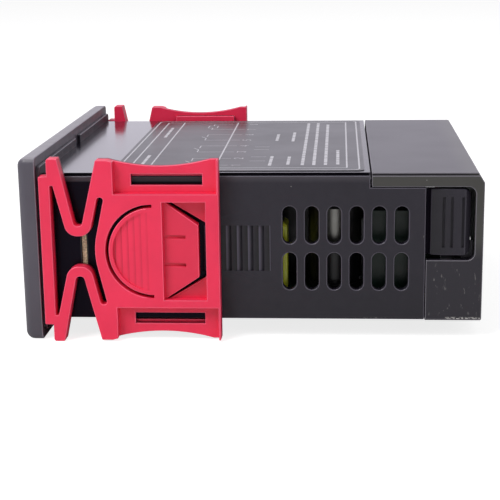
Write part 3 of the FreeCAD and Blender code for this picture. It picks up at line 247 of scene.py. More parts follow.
def overlap(tree, *masks):
    """One only where every mask is one."""
    amount = masks[0]
    for mask in masks[1:]:
        amount = add(tree, "ShaderNodeMath", {"operation": "MULTIPLY", 0: amount, 1: mask})
    return amount


def either(tree, *masks):
    """One wherever any of the masks is one."""
    amount = masks[0]
    for mask in masks[1:]:
        amount = add(tree, "ShaderNodeMath", {"operation": "MAXIMUM", 0: amount, 1: mask})
    return amount


def region(tree, corner, opposite, soft=0.4 * MM, where=None):
    """One inside a box, falling to nothing over a short way outside it."""
    middle = [(a + b) / 2 for a, b in zip(corner, opposite)]
    half = [abs(a - b) / 2 for a, b in zip(corner, opposite)]
    where = where or place_in(tree)
    away = add(tree, "ShaderNodeVectorMath", {"operation": "SUBTRACT", 0: where, 1: middle})
    away = add(tree, "ShaderNodeVectorMath", {"operation": "ABSOLUTE", 0: away})
    away = add(tree, "ShaderNodeVectorMath", {"operation": "SUBTRACT", 0: away, 1: half})
    farthest = either(tree, *add(tree, "ShaderNodeSeparateXYZ", {0: away}).node.outputs)
    return add(tree, "ShaderNodeMapRange", {0: farthest, 2: soft, 3: 1.0, 4: 0.0})


def specks(tree, spacing, radius, share):
    """Scattered dots, such as dust: one cell in so many holds a dot of about the given radius."""
    settings = {"Scale": 1.0 / spacing, "Vector": place_in(tree)}
    cells = add(tree, "ShaderNodeTexVoronoi", settings).node.outputs
    reach = radius / spacing
    dot = add(tree, "ShaderNodeMapRange", {0: cells["Distance"], 1: reach * 0.6, 2: reach, 3: 1.0, 4: 0.0})
    pick = add(tree, "ShaderNodeSeparateXYZ", {0: cells["Color"]})
    return overlap(tree, dot, add(tree, "ShaderNodeMath", {"operation": "LESS_THAN", 0: pick, 1: share}))


def share_of_step(tree, ahead, pitch):
    """How much of a step has passed, from 0 to 1 along each of a row of even steps."""
    steps = add(tree, "ShaderNodeMath", {"operation": "DIVIDE", 0: ahead, 1: pitch})
    return add(tree, "ShaderNodeMath", {"operation": "FRACT", 0: steps})


def paint(tree, shader, factor, first, second, socket="Base Color"):
    """Gives the surface a colour between two, as the factor says."""
    settings = {"data_type": "RGBA", 0: factor, 6: first, 7: second}
    tree.links.new(add(tree, "ShaderNodeMix", settings, 2), shader.inputs[socket])


def tint(tree, shader, colour, strength, *masks):
    """Lays a colour over what the shader already has, where all the masks say so."""
    socket = shader.inputs["Base Color"]
    under = socket.links[0].from_socket if socket.links else tuple(socket.default_value)
    paint(tree, shader, overlap(tree, *masks, strength), under, colour)


def grain(tree, shader, size, depth, strength=1.0):
    """Fine bumps, as an etched mould leaves them."""
    settings = {"Strength": strength, "Distance": depth, "Height": blotches(tree, size, 3.0)}
    tree.links.new(add(tree, "ShaderNodeBump", settings), shader.inputs["Normal"])


def mottle(tree, shader, colour, size, spread):
    """Lets the colour wander a little, as in a moulding with uneven flow and handling."""
    factor = uneven(tree, size, 4.0, 0.0, 1.0)
    paint(tree, shader, factor, shade(colour, 1.0 - spread), shade(colour, 1.0 + spread))


# Finishes

def moulded(name, colour, roughness, grain_size=0.22 * MM, grain_depth=0.01 * MM, spread=0.06, dust=0.0):
    """A moulded plastic: even colour, faint blotches, fine grain, an uneven gloss and a little dust."""
    material, tree, shader = new_material(name, {"Base Color": colour, "Roughness": roughness, "IOR": 1.5})
    mottle(tree, shader, colour, 9.0 * MM, spread)
    if dust > 0:
        tint(tree, shader, DUST, 0.7, specks(tree, 1.6 * MM, 0.12 * MM, dust))
    uneven_gloss(tree, shader, 3.0 * MM, 4.0, roughness * 0.88, min(1.0, roughness * 1.12))
    grain(tree, shader, grain_size, grain_depth)
    return material


def plain_on_housing(point):
    """The lid's long edges, the racks and the grip grooves of the latches keep sharp edges."""
    x, y, z = point.x, abs(point.y), point.z
    in_grooves = GROOVES[0][0] < x < GROOVES[1][0] and GROOVES[0][1] < z < GROOVES[1][1]
    on_rack = all(a <= b <= c for a, b, c in zip(RACK[0], (x, y, z), RACK[1]))
    return in_grooves or on_rack or (LID_RIM[0] < y < LID_RIM[0] + 0.2 * MM and z > LID_RIM[1])


def housing_plastic(looks):
    """Moulded ABS: etched and matt on the walls, and polished on the lid, which mirrors the frame."""
    colour = tuple(looks.housing_colour)
    settings = {"Base Color": colour, "IOR": 1.5, "Coat Roughness": 0.12}
    material, tree, shader = new_material("Moulded ABS, housing", settings)
    mottle(tree, shader, colour, 8.0 * MM, 0.08)
    lid = add(tree, "ShaderNodeMapRange", {0: facing(tree)["Z"], 1: 0.85, 2: 0.98})
    folded, (x, y, z) = both_sides(tree)
    # Painted shade on the reflection: the wall behind the clips, the rails' grooves and the gaps at the
    # latches get a dark specular tint, so they mirror little.
    behind_clips = region(tree, *UNDER_CLIP, 0.3 * MM, folded)
    in_groove = region(tree, *RAIL, 0.05 * MM, folded)
    in_gap = region(tree, *LATCH_GAP, 0.1 * MM, folded)
    painted_shade_on_reflection = either(tree, behind_clips, in_groove, in_gap)
    paint(tree, shader, painted_shade_on_reflection, WHITE, linear("#6e6480"), "Specular Tint")
    # The etched wall is matt, smoother behind the clips, and the lid is polished.
    etched = uneven(tree, 2.2 * MM, 4.0, 0.5, 0.62)
    wall = add(tree, "ShaderNodeMix", {"data_type": "FLOAT", 0: behind_clips, 2: etched, 3: 0.22})
    gloss = add(tree, "ShaderNodeMix", {"data_type": "FLOAT", 0: lid, 2: wall, 3: 0.15})
    tree.links.new(gloss, shader.inputs["Roughness"])
    grain(tree, shader, 0.2 * MM, 0.012 * MM, add(tree, "ShaderNodeMapRange", {0: lid, 3: 1.0, 4: 0.1}))
    # The lid is glossiest in front of the label.
    before_label = add(tree, "ShaderNodeMapRange", {0: x, 1: 13.0 * MM, 2: 40.0 * MM, 3: 0.6, 4: 0.0})
    tree.links.new(overlap(tree, lid, before_label), shader.inputs["Coat Weight"])
    tint(tree, shader, DUST, 0.5, specks(tree, 1.7 * MM, 0.11 * MM, 0.04))
    # Painted highlight: the outer face of the upper rails, at the top of the walls, is made a little paler.
    above = add(tree, "ShaderNodeMapRange", {0: z, 1: 12.2 * MM, 2: 13.4 * MM})
    outside = add(tree, "ShaderNodeMapRange", {0: y, 1: 34.8 * MM, 2: 35.1 * MM})
    tint(tree, shader, linear("#59545b"), 0.4, above, outside)
    # Painted shade: the grooves, the gaps, the joint at the collar and the wall behind the clips are
    # darkened.
    at_collar = region(tree, *COLLAR, 0.1 * MM, folded)
    for strength, place in ((0.95, in_groove), (1.0, in_gap), (0.7, at_collar), (0.9, behind_clips)):
        tint(tree, shader, SHADE, strength, place)
    # Painted shade and highlight: each tooth of the racks is darkened in its valley and lightened at its
    # crest.
    ahead = add(tree, "ShaderNodeMath", {"operation": "SUBTRACT", 0: RACK_END, 1: x})
    tooth = share_of_step(tree, ahead, RACK_PITCH)
    on_rack = region(tree, *RACK, 0.02 * MM, folded)
    valley = add(tree, "ShaderNodeMapRange", {0: tooth, 1: 0.05, 2: 0.7, 3: 1.0, 4: 0.0})
    crest = add(tree, "ShaderNodeMapRange", {0: tooth, 1: 0.7, 2: 0.92})
    tint(tree, shader, SHADE, 0.95, valley, on_rack)
    tint(tree, shader, linear("#6a6576"), 0.5, crest, on_rack)
    # Painted shade: the wall is made a little darker towards its foot.
    tint(tree, shader, SHADE, 0.3, add(tree, "ShaderNodeMapRange", {0: z, 1: 2.0 * MM, 2: -14.0 * MM}))
    # Painted shade: the latch pads lean in towards the wall, and are darkened where they lean in.
    lean = add(tree, "ShaderNodeMapRange", {0: x, 1: 71.2 * MM, 2: 76.0 * MM, 3: 1.0, 4: 0.0})
    tint(tree, shader, SHADE, 0.7, region(tree, *LATCH_PAD, 0.1 * MM, folded), lean)
    # The end of the side wall, where the cover rubs it as it slides, is chipped pale.
    chips = uneven(tree, 1.9 * MM, 6.0, 0.0, 1.0, (0.58, 0.62))
    tint(tree, shader, DUST, 0.75, region(tree, *WALL_END, 0.1 * MM, folded), chips)
    # A pale scuff at the foot of the wall, where it has been set down.
    scuffs = uneven(tree, 0.7 * MM, 5.0, 0.0, 1.0, (0.5, 0.6), (1.0, 1.0, 0.5))
    tint(tree, shader, DUST, 0.4, region(tree, *WALL_FOOT, 0.5 * MM, folded), scuffs)
    return material


def housing_edge_highlight_and_wear(looks):
    """The housing's edges: paler and smoother, as painted highlight and wear, but not on the latches."""
    material = moulded("Moulded ABS, rubbed housing edges", linear("#524e59"), 0.38)
    tree, shader = parts_of(material)
    folded, _ = both_sides(tree)
    # Painted shade: the edges behind the clips are darkened as well.
    tint(tree, shader, SHADE, 0.9, region(tree, *UNDER_CLIP, 0.3 * MM, folded))
    tint(tree, shader, shade(looks.housing_colour, 1.1), 0.85, region(tree, *LATCH_PAD, 0.1 * MM, folded))
    return material


def plain_on_clip(point):
    """The fine steps of the thumb pad and the ends of the slit round it keep sharp edges."""
    away = math.hypot(point.x - THUMB_CENTRE[0], point.z)
    slit_end = THUMB_SLIT[0] < away < THUMB_SLIT[1] and point.x > THUMB_CENTRE[0] - 1.6 * MM
    return slit_end or away < THUMB_RADIUS + 0.05 * MM


def clip_plastic(looks):
    """Moulded acetal: waxy pink-red, with painted shade deeper in its recesses, and a satin gloss."""
    colour = tuple(looks.clip_colour)
    settings = {"Base Color": colour, "IOR": 1.48, "Subsurface Weight": 0.1, "Subsurface Scale": 1.0 * MM,
                "Subsurface Radius": (1.0, 0.25, 0.3)}
    material, tree, shader = new_material("Moulded acetal, clips", settings)
    mottle(tree, shader, colour, 7.0 * MM, 0.05)
    folded, (x, y, z) = both_sides(tree)
    # Painted shade: the further below the outer face, the deeper the red.
    depth = add(tree, "ShaderNodeMath", {"operation": "SUBTRACT", 0: high("mounting_clip_left").y, 1: y})
    sunk = add(tree, "ShaderNodeMapRange", {0: depth, 1: 0.1 * MM, 2: 1.9 * MM})
    tint(tree, shader, linear("#c9203c"), 0.12, sunk)
    # The slits' walls turn to black red, where little light reaches.
    deep = add(tree, "ShaderNodeMapRange", {0: depth, 1: 1.85 * MM, 2: 2.5 * MM})
    flat = add(tree, "ShaderNodeMath", {"operation": "ABSOLUTE", 0: facing(tree)["Y"]})
    sideways = add(tree, "ShaderNodeMapRange", {0: flat, 1: 0.5, 2: 0.8, 3: 1.0, 4: 0.0})
    tint(tree, shader, linear("#2c0710"), 0.85, deep, sideways)
    # Painted shade: the tongue behind the pad is made a deeper red.
    tint(tree, shader, linear("#b81c34"), 0.3, region(tree, *TONGUE, 0.1 * MM, folded))
    # Painted shade: each step of the thumb pad starts with a darker line, stronger towards the front.
    level = add(tree, "ShaderNodeCombineXYZ", {0: x, 2: z})
    away = add(tree, "ShaderNodeVectorMath", {"operation": "DISTANCE", 0: level, 1: THUMB_CENTRE}, "Value")
    rim = THUMB_RADIUS - 0.1 * MM
    on_pad = add(tree, "ShaderNodeMapRange", {0: away, 1: rim, 2: THUMB_RADIUS, 3: 1.0, 4: 0.0})
    first = THUMB_CENTRE[0] - THUMB_FIRST
    ahead = add(tree, "ShaderNodeMath", {"operation": "SUBTRACT", 0: first, 1: x})
    line = add(tree, "ShaderNodeMapRange",
               {0: share_of_step(tree, ahead, THUMB_PITCH), 2: 0.45, 3: 1.0, 4: 0.0})
    stronger = add(tree, "ShaderNodeMapRange", {0: ahead, 2: 6.0 * MM, 3: 0.35, 4: 1.0})
    on_steps = add(tree, "ShaderNodeMath", {"operation": "GREATER_THAN", 0: ahead, 1: 0.0})
    tint(tree, shader, linear("#b01834"), 0.6, line, stronger, on_steps, on_pad)
    tint(tree, shader, linear("#ffc4cc"), 0.6, specks(tree, 2.4 * MM, 0.1 * MM, 0.08))
    uneven_gloss(tree, shader, 2.5 * MM, 4.0, 0.36, 0.48)
    grain(tree, shader, 0.3 * MM, 0.008 * MM)
    return material


def frame_plastic(looks):
    """Moulded ABS with an etched grain: soft, even grey-violet, with painted highlight on top, painted
    shade below.
    """
    colour = tuple(looks.bezel_colour)
    material = moulded("Moulded ABS, front frame", colour, 0.42, 0.25 * MM, 0.014 * MM, 0.07, 0.05)
    tree, shader = parts_of(material)
    # Painted highlight on the faces that turn up.
    upward = add(tree, "ShaderNodeMapRange", {0: facing(tree)["Z"], 1: 0.6, 2: 0.9})
    tint(tree, shader, linear("#a19da3"), 0.7, upward)
    # Painted shade, darker towards the bottom.
    height = add(tree, "ShaderNodeSeparateXYZ", {0: place_in(tree)}, "Z")
    tint(tree, shader, SHADE, 0.22, add(tree, "ShaderNodeMapRange", {0: height, 1: 0.0, 2: -17.0 * MM}))
    return material


def cover_plastic(looks):
    """Moulded ABS, less polished than the lid, so its top mirrors the room only softly."""
    colour = tuple(looks.cover_colour)
    material, tree, shader = new_material("Moulded ABS, rear cover", {"Base Color": colour, "IOR": 1.5})
    mottle(tree, shader, colour, 9.0 * MM, 0.06)
    tint(tree, shader, DUST, 0.6, specks(tree, 1.6 * MM, 0.11 * MM, 0.05))
    # Fine upright scratches and chips on the near side.
    scratches = uneven(tree, 0.36 * MM, 4.0, 0.0, 1.0, (0.61, 0.68), (0.6, 1.0, 0.22))
    tint(tree, shader, DUST, 0.22, region(tree, *COVER_SCRATCHES, 1.5 * MM), scratches)
    chips = uneven(tree, 0.4 * MM, 4.0, 0.0, 1.0, (0.47, 0.52))
    tint(tree, shader, DUST, 0.9, region(tree, *COVER_CHIPS, 0.3 * MM), chips)
    # Painted highlight: the top and the rear are made paler.
    lighter = either(tree, region(tree, *COVER_TOP), region(tree, *COVER_REAR, 3.5 * MM))
    tint(tree, shader, linear("#6a6a5c"), 0.25, lighter)
    uneven_gloss(tree, shader, 12.0 * MM, 2.0, 0.29, 0.31)
    grain(tree, shader, 0.35 * MM, 0.001 * MM)
    return material


def window_acrylic(looks):
    """Cast acrylic, smoked: a dark polished sheet that the displays only just show through."""
    settings = {"Base Color": tuple(looks.window_tint), "IOR": 1.49, "Transmission Weight": 0.9}
    material, tree, shader = new_material("Cast acrylic, smoked window", settings)
    uneven_gloss(tree, shader, 9.0 * MM, 5.0, 0.03, 0.14, (0.35, 0.75))
    return material


def label_film(looks):
    """Polyester film with a matt varnish, which softens what it mirrors."""
    colour = tuple(looks.label_colour)
    material, tree, shader = new_material("Polyester film, matt label", {"Base Color": colour, "IOR": 1.5})
    mottle(tree, shader, colour, 14.0 * MM, 0.05)
    uneven_gloss(tree, shader, 12.0 * MM, 3.0, 0.28, 0.33)
    grain(tree, shader, 0.3 * MM, 0.002 * MM)
    return material


def silver_ink():
    """Screen-printed silver ink: a fine pigment with a dull sheen and slightly starved edges."""
    settings = {"Base Color": linear("#c6c4ca"), "Roughness": 0.45}
    material, tree, shader = new_material("Silver ink, screen printed", settings)
    mottle(tree, shader, settings["Base Color"], 0.5 * MM, 0.12)
    grain(tree, shader, 0.08 * MM, 0.004 * MM)
    return material


def laminate(looks, name, across):
    """Epoxy glass laminate: dark green mask on both faces, and a routed tan edge with the weave showing."""
    colour = tuple(looks.board_colour)
    settings = {"Base Color": colour, "Roughness": 0.5}
    material, tree, shader = new_material("Epoxy glass laminate, " + name, settings)
    # Threads lie 0.5 mm apart.
    place = place_in(tree)
    threads = {"Scale": bands(0.5 * MM), "Distortion": 0.4, "bands_direction": "Z", "Vector": place}
    weave = add(tree, "ShaderNodeTexWave", threads, "Fac")
    paint(tree, shader, weave, shade(colour, 0.7), shade(colour, 1.1))
    tint(tree, shader, shade(colour, 1.6), 1.0, uneven(tree, 0.35 * MM, 3.0, 0.0, 1.0, (0.4, 0.65)))
    flat = add(tree, "ShaderNodeMath", {"operation": "ABSOLUTE", 0: facing(tree)[across]})
    masked = add(tree, "ShaderNodeMapRange", {0: flat, 1: 0.6, 2: 0.8})
    tint(tree, shader, linear("#16301f"), 1.0, masked)
    grain(tree, shader, 0.3 * MM, 0.04 * MM)
    return material


def sleeved_can():
    """A drawn aluminium can in a black shrink sleeve, which leaves its upper part bare."""
    sleeve = linear("#131216")
    material, tree, shader = new_material("Drawn aluminium can, black sleeve", {"Base Color": sleeve})
    height = add(tree, "ShaderNodeSeparateXYZ", {0: place_in(tree)}, "Z")
    bare = add(tree, "ShaderNodeMapRange", {0: height, 1: 0.1 * MM, 2: 0.3 * MM})
    mottle(tree, shader, sleeve, 3.0 * MM, 0.1)
    tint(tree, shader, linear("#8b8a86"), 1.0, bare)
    tree.links.new(bare, shader.inputs["Metallic"])
    uneven_gloss(tree, shader, 1.5 * MM, 3.0, 0.3, 0.42)
    return material


def metal(name, hex_colour, roughness, grain_size, stretch):
    """A metal with fine drawn or rolled lines along one direction."""
    colour = linear(hex_colour)
    settings = {"Base Color": colour, "Metallic": 1.0, "Roughness": roughness}
    material, tree, shader = new_material(name, settings)
    lines = blotches(tree, grain_size, 3.0, stretch)
    levels = {0: lines, 1: 0.3, 2: 0.7, 3: roughness * 0.8, 4: roughness * 1.25}
    tree.links.new(add(tree, "ShaderNodeMapRange", levels), shader.inputs["Roughness"])
    paint(tree, shader, lines, shade(colour, 0.85), shade(colour, 1.08))
    return material


def stamped_steel():
    """Silicon steel plates, stamped and stacked: thin dark joints between grey edges."""
    colour = linear("#77757a")
    settings = {"Base Color": colour, "Metallic": 1.0, "Roughness": 0.5}
    material, tree, shader = new_material("Silicon steel, stamped plates", settings)
    # Real plates are half as thick. They are drawn at 1 mm, so that they show.
    place = place_in(tree)
    plates = {"Scale": bands(1.0 * MM), "bands_direction": "Z", "wave_profile": "SAW", "Vector": place}
    stack = add(tree, "ShaderNodeTexWave", plates, "Fac")
    joint = add(tree, "ShaderNodeMapRange", {0: stack, 2: 0.25})
    paint(tree, shader, joint, shade(colour, 0.25), colour)
    bump = add(tree, "ShaderNodeBump", {"Distance": 0.05 * MM, "Height": joint})
    tree.links.new(bump, shader.inputs["Normal"])
    return material


def taped_winding():
    """Copper winding wrapped in yellow polyester tape: glossy, with the turns telegraphing through."""
    colour = linear("#d9b32c")
    settings = {"Base Color": colour, "Roughness": 0.25}
    material, tree, shader = new_material("Polyester tape over copper winding", settings)
    # Real turns are finer. They are drawn 0.8 mm apart, so that they show.
    turns = {"Scale": bands(0.8 * MM), "bands_direction": "X", "Vector": place_in(tree)}
    wave = add(tree, "ShaderNodeTexWave", turns, "Fac")
    paint(tree, shader, wave, shade(colour, 0.8), colour)
    bump = add(tree, "ShaderNodeBump", {"Distance": 0.06 * MM, "Height": wave})
    tree.links.new(bump, shader.inputs["Normal"])
    return material


# Shapes

def shaded_mesh(name, vertices, faces, plain):
    """A mesh with equal points joined, flat areas made whole, and soft shading between sharp edges."""
    rough = bmesh.new()
    points = [rough.verts.new(v) for v in vertices]
    for face in faces:
        rough.faces.new([points[i] for i in face])
    bmesh.ops.remove_doubles(rough, verts=rough.verts, dist=MERGE)
    bmesh.ops.dissolve_degenerate(rough, edges=rough.edges, dist=MERGE)
    bmesh.ops.dissolve_limit(rough, angle_limit=FLAT_WITHIN, verts=rough.verts, edges=rough.edges)
    outer = rough.edges.layers.float.new("bevel_weight_edge")
    for edge in rough.edges:
        outward = edge.is_manifold and edge.calc_face_angle_signed(0.0) > SHARP_OVER
        if outward and not all(plain(v.co) for v in edge.verts):
            edge[outer] = 1.0
    mesh = bpy.data.meshes.new(name)
    rough.to_mesh(mesh)
    rough.free()
    mesh.polygons.foreach_set("use_smooth", [True] * len(mesh.polygons))
    mesh.set_sharp_from_angle(angle=SHARP_OVER)
    return mesh


def new_piece(name, mesh, body, material):
    piece = bpy.data.objects.new(name, mesh)
    bpy.context.scene.collection.objects.link(piece)
    piece.data.materials.append(material)
    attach(piece, body)
    return piece


def nowhere(point):
    return False


def dress(node, material, edge, lighter=None, plain=nowhere):
    """Stands in for a rigid node: the same solid with its outer edges broken, apart from the plain ones."""
    source = frame["nodes"][node].data
    vertices = [v.co.copy() for v in source.vertices]
    mesh = shaded_mesh(node + "_skin", vertices, [list(p.vertices) for p in source.polygons], plain)
    piece = new_piece(node + "_skin", mesh, frame["nodes"][node]["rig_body"], material)
    if edge > 0:
        bevel = piece.modifiers.new("broken edges", "BEVEL")
        bevel.width = edge
        bevel.segments = 2
        bevel.limit_method = "WEIGHT"
        bevel.loop_slide = False
        bevel.use_clamp_overlap = False
        bevel.harden_normals = True
        if lighter is not None:
            piece.data.materials.append(lighter)
            bevel.material = 1
    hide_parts(node)


def block(name, corner, opposite, node, material):
    """A plain box between two corners, in millimetres, that belongs to a node."""
    mesh = bpy.data.meshes.new(name)
    box = bmesh.new()
    bmesh.ops.create_cube(box, size=1.0)
    box.transform(Matrix.Diagonal([abs(b - a) * MM for a, b in zip(corner, opposite)] + [1.0]))
    box.transform(Matrix.Translation([(a + b) / 2 * MM for a, b in zip(corner, opposite)]))
    box.to_mesh(mesh)
    box.free()
    new_piece(name, mesh, frame["nodes"][node]["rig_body"], material)


def make_housing_ribs(material):
    """The lid's lip under the cover, and a rib with its root behind each latch, seen through the outlet."""
    block("lid_lip", (58.6, -31.5, 11.64), (62.0, 31.5, 12.24), "main_housing", material)
    for side, way in SIDES:
        rib = ((77.0, way * 33.5, -2.8), (79.1, way * 32.9, 1.2))
        root = ((77.2, way * 34.4, -1.2), (78.2, way * 33.3, 1.0))
        block("latch_rib_" + side, *rib, "main_housing", material)
        block("latch_root_" + side, *root, "main_housing", material)


def make_board_tabs(material):
    """The front board's tabs fill the slits in the side walls."""
    for side, way in SIDES:
        tab = ((6.97, way * 34.8, -4.1), (7.85, way * 33.0, 4.1))
        block("board_tab_" + side, *tab, "display_board", material)


def ribbon_sides(run, half):
    """The left and right points along a flat line; a run that ends where it starts is closed."""
    points = [Vector(p) for p in run]
    closed = points[0] == points[-1]
    sides = []
    for i, point in enumerate(points):
        before = points[i - 1] if i > 0 else points[-2] if closed else None
        after = points[i + 1] if i + 1 < len(points) else points[1] if closed else None
        ways = []
        for start, end in ((before, point), (point, after)):
            if start is not None and end is not None:
                ways.append((end - start).normalized())
        along = sum(ways, Vector((0.0, 0.0))).normalized()
        across = Vector((-along.y, along.x)) * (half / max(0.4, along.dot(ways[0])))
        overrun = Vector((0.0, 0.0)) if len(ways) == 2 else along * half * (-1 if i == 0 else 1)
        sides.append((point + overrun + across, point + overrun - across))
    return sides


def rounded_run(left, right, near, far, radius, steps=6):
    """The closed run of a rounded rectangle."""
    points = []
    for cx, cy, start in (
        (right - radius, far - radius, 0),
        (left + radius, far - radius, 90),
        (left + radius, near + radius, 180),
        (right - radius, near + radius, 270),
    ):
        for i in range(steps + 1):
            angle = math.radians(start + 90 * i / steps)
            points.append((cx + radius * math.cos(angle), cy + radius * math.sin(angle)))
    return points + points[:1]


# Flat shapes on the front, as outlines of (y, z) points that the user's side shows.

def facing_plates(name, shapes, node, material):
    """Thin flat shapes that face the user, on the front of a node."""
    x = low(node).x - PROUD
    vertices = []
    faces = []
    for shape in shapes:
        faces.append(tuple(range(len(vertices), len(vertices) + len(shape))))
        vertices.extend((x, y, z) for y, z in shape)
    mesh = bpy.data.meshes.new(name)
    mesh.from_pydata(vertices, [], faces)
    new_piece(name, mesh, frame["nodes"][node]["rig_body"], material)


def bar_shape(y0, z0, y1, z1, half, pointed=True):
    """A bar between two places, with pointed ends as a display's segments have."""
    along = Vector((y1 - y0, z1 - z0)).normalized()
    side = Vector((-along.y, along.x)) * half
    a, b = Vector((y0, z0)), Vector((y1, z1))
    if not pointed:
        return [tuple(p) for p in (a - side, b - side, b + side, a + side)]
    inner_a, inner_b = a + along * half, b - along * half
    return [tuple(p) for p in (a, inner_a - side, inner_b - side, b, inner_b + side, inner_a + side)]


def segment_shapes(node):
    """Three unlit digits of seven segments, each with a point, and a small mark at the left."""
    start, end = low(node), high(node)
    middle = (start.z + end.z) / 2
    wide, tall, half, gap = 4.4 * MM, 8.0 * MM, 0.42 * MM, 0.16 * MM
    pitch, aside = 9.4, 1.0
    shapes = []
    for place in (-1, 0, 1):
        centre = (start.y + end.y) / 2 - (place * pitch + aside) * MM
        left, right = centre + wide / 2, centre - wide / 2
        top, bottom = middle + tall / 2, middle - tall / 2
        for z in (bottom, middle, top):
            shapes.append(bar_shape(left - gap, z, right + gap, z, half))
        for y in (left, right):
            shapes.append(bar_shape(y, bottom + gap, y, middle - gap, half))
            shapes.append(bar_shape(y, middle + gap, y, top - gap, half))
        shapes.append(round_shape(right - 1.5 * MM, bottom, 0.55 * MM))
    shapes.append(round_shape(end.y - 2.6 * MM, top - 1.0 * MM, 0.7 * MM))
    return shapes


def round_shape(y, z, radius, steps=20):
    return [(y + radius * math.cos(2 * math.pi * i / steps), z + radius * math.sin(2 * math.pi * i / steps))
            for i in range(steps)]


def arc_bars(y, z, radius, half, start, stop, steps=20):
    """A bent bar as a row of short pieces; angles in degrees from straight up."""
    rims = (radius - half, radius + half)
    cuts = []
    for i in range(steps + 1):
        angle = math.radians(start + (stop - start) * i / steps)
        cuts.append([(y + rim * math.sin(angle), z + rim * math.cos(angle)) for rim in rims])
    return [[a[0], a[1], b[1], b[0]] for a, b in zip(cuts, cuts[1:])]


def symbol_shapes(key):
    """An arrowhead for up and down, a ring with a bar for power, and three dots in a ring for set."""
    start, end = low("button_" + key), high("button_" + key)
    y, z = (start.y + end.y) / 2, (start.z + end.z) / 2
    if key in ("up", "down"):
        way = 1 if key == "up" else -1
        foot = z - way * 0.8 * MM
        tip = z + way * 1.3 * MM
        return [[(y - 1.3 * MM, foot), (y, tip), (y + 1.3 * MM, foot)]]
    if key == "power":
        bar = bar_shape(y, z + 0.2 * MM, y, z + 1.5 * MM, 0.16 * MM, False)
        return arc_bars(y, z, 1.15 * MM, 0.16 * MM, 35, 325) + [bar]
    dots = [round_shape(y + i * 0.75 * MM, z, 0.22 * MM) for i in (-1, 0, 1)]
    return arc_bars(y, z, 1.45 * MM, 0.14 * MM, 0, 360, 32) + dots


# The wiring label's printing, as runs of points in millimetres

LABEL_BAR = 0.62 * MM
TERMINALS = [7.62 * (i - 3.5) for i in range(8)]
DIGITS = {
    1: [[(0.3, 1.3), (0.55, 1.6), (0.55, 0)]],
    2: [[(0, 1.3), (0.25, 1.6), (0.75, 1.6), (1, 1.3), (1, 1.0), (0, 0), (1, 0)]],
    3: [[(0, 1.6), (1, 1.6), (0.5, 0.95), (1, 0.6), (1, 0.25), (0.7, 0), (0.3, 0), (0, 0.25)]],
    4: [[(0.75, 0), (0.75, 1.6), (0, 0.5), (1, 0.5)]],
    5: [[(1, 1.6), (0.1, 1.6), (0, 0.9), (0.7, 0.9), (1, 0.6), (1, 0.25), (0.7, 0), (0, 0)]],
    6: [[(0.8, 1.6), (0.2, 1.0), (0, 0.5), (0.2, 0), (0.8, 0), (1, 0.45), (0.8, 0.85), (0.1, 0.75)]],
    7: [[(0, 1.6), (1, 1.6), (0.4, 0)]],
    8: [[(0.5, 0.85), (0.1, 1.2), (0.3, 1.6), (0.7, 1.6), (0.9, 1.2), (0.5, 0.85),
         (0, 0.4), (0.25, 0), (0.75, 0), (1, 0.4), (0.5, 0.85)]],
}
# The rows of fine bars: X, and where each row starts and ends along Y.
FINE_LINES = (
    (17.3, -26.0, -15.5),
    (17.3, 8.0, 22.0),
    (41.6, -27.0, -17.0),
    (41.6, 3.0, 11.5),
    (45.0, -26.0, -17.5),
    (45.0, 2.0, 14.0),
    (47.75, -26.5, 28.0),
    (49.9, -26.5, 28.0),
    (52.1, -26.5, 26.0),
    (54.4, -26.0, -10.0),
)
# Where the diagram's lines start, how far forward its switches stand, and the field's edges.
LINE_START = 31.5
SWITCH_LINE = 26.3
FIELD = (15.4, 56.1, -29.6, 29.6)


def print_runs(name, runs, width, ink):
    """Prints runs of points, given in millimetres, on the label, each a hair higher than the one before."""
    vertices = []
    faces = []
    for index, run in enumerate(runs):
        first = len(vertices)
        up = high("wiring_label").z + PROUD + index * INK_STEP
        for left, right in ribbon_sides([(x * MM, y * MM) for x, y in run], width / 2):
            vertices.extend([(left.x, left.y, up), (right.x, right.y, up)])
        for i in range(first, len(vertices) - 2, 2):
            faces.append((i, i + 1, i + 3, i + 2))
    mesh = bpy.data.meshes.new(name)
    mesh.from_pydata(vertices, [], faces)
    new_piece(name, mesh, "controller", ink)


def label_frames():
    """An outer and an inner frame, and the rules that divide the field."""
    runs = [rounded_run(13.3, 58.4, -31.8, 31.8, 1.4), rounded_run(*FIELD, 0.3)]
    for x in (19.1, LINE_START):
        runs.append([(x, FIELD[2]), (x, FIELD[3])])
    return runs


def label_diagram():
    """Lines from the terminals' numbers to two switches, a supply and a probe."""
    runs = []
    for y in TERMINALS:
        runs.append([(LINE_START, y), (33.6, y)])
    for near in (0, 2, 4):
        first, second = TERMINALS[near], TERMINALS[near + 1]
        middle = (first + second) / 2
        blade = [(SWITCH_LINE, middle - 1.1), (SWITCH_LINE - 1.1, middle + 0.9)]
        runs.append([(LINE_START, first), (SWITCH_LINE, first)] + blade)
        runs.append([(SWITCH_LINE, middle + 1.1), (SWITCH_LINE, second), (LINE_START, second)])
    first, second = TERMINALS[6], TERMINALS[7]
    runs.append([(LINE_START, first), (SWITCH_LINE, first), (SWITCH_LINE, first + 2.2)])
    runs.append(rounded_run(SWITCH_LINE - 1.0, SWITCH_LINE + 1.0, first + 2.2, second - 2.2, 0.2))
    runs.append([(SWITCH_LINE, second - 2.2), (SWITCH_LINE, second), (LINE_START, second)])
    for y in (-5.3, -8.5, -17.4, -22.1):
        runs.append([(37.6, y), (40.4, y)])
    return runs


def label_numbers():
    """The terminals' numbers, read from the rear, one beside each line."""
    runs = []
    for number, y in enumerate(TERMINALS, start=1):
        for stroke in DIGITS[number]:
            runs.append([(36.0 - up, y - 0.45 + across * 0.9) for across, up in stroke])
    return runs


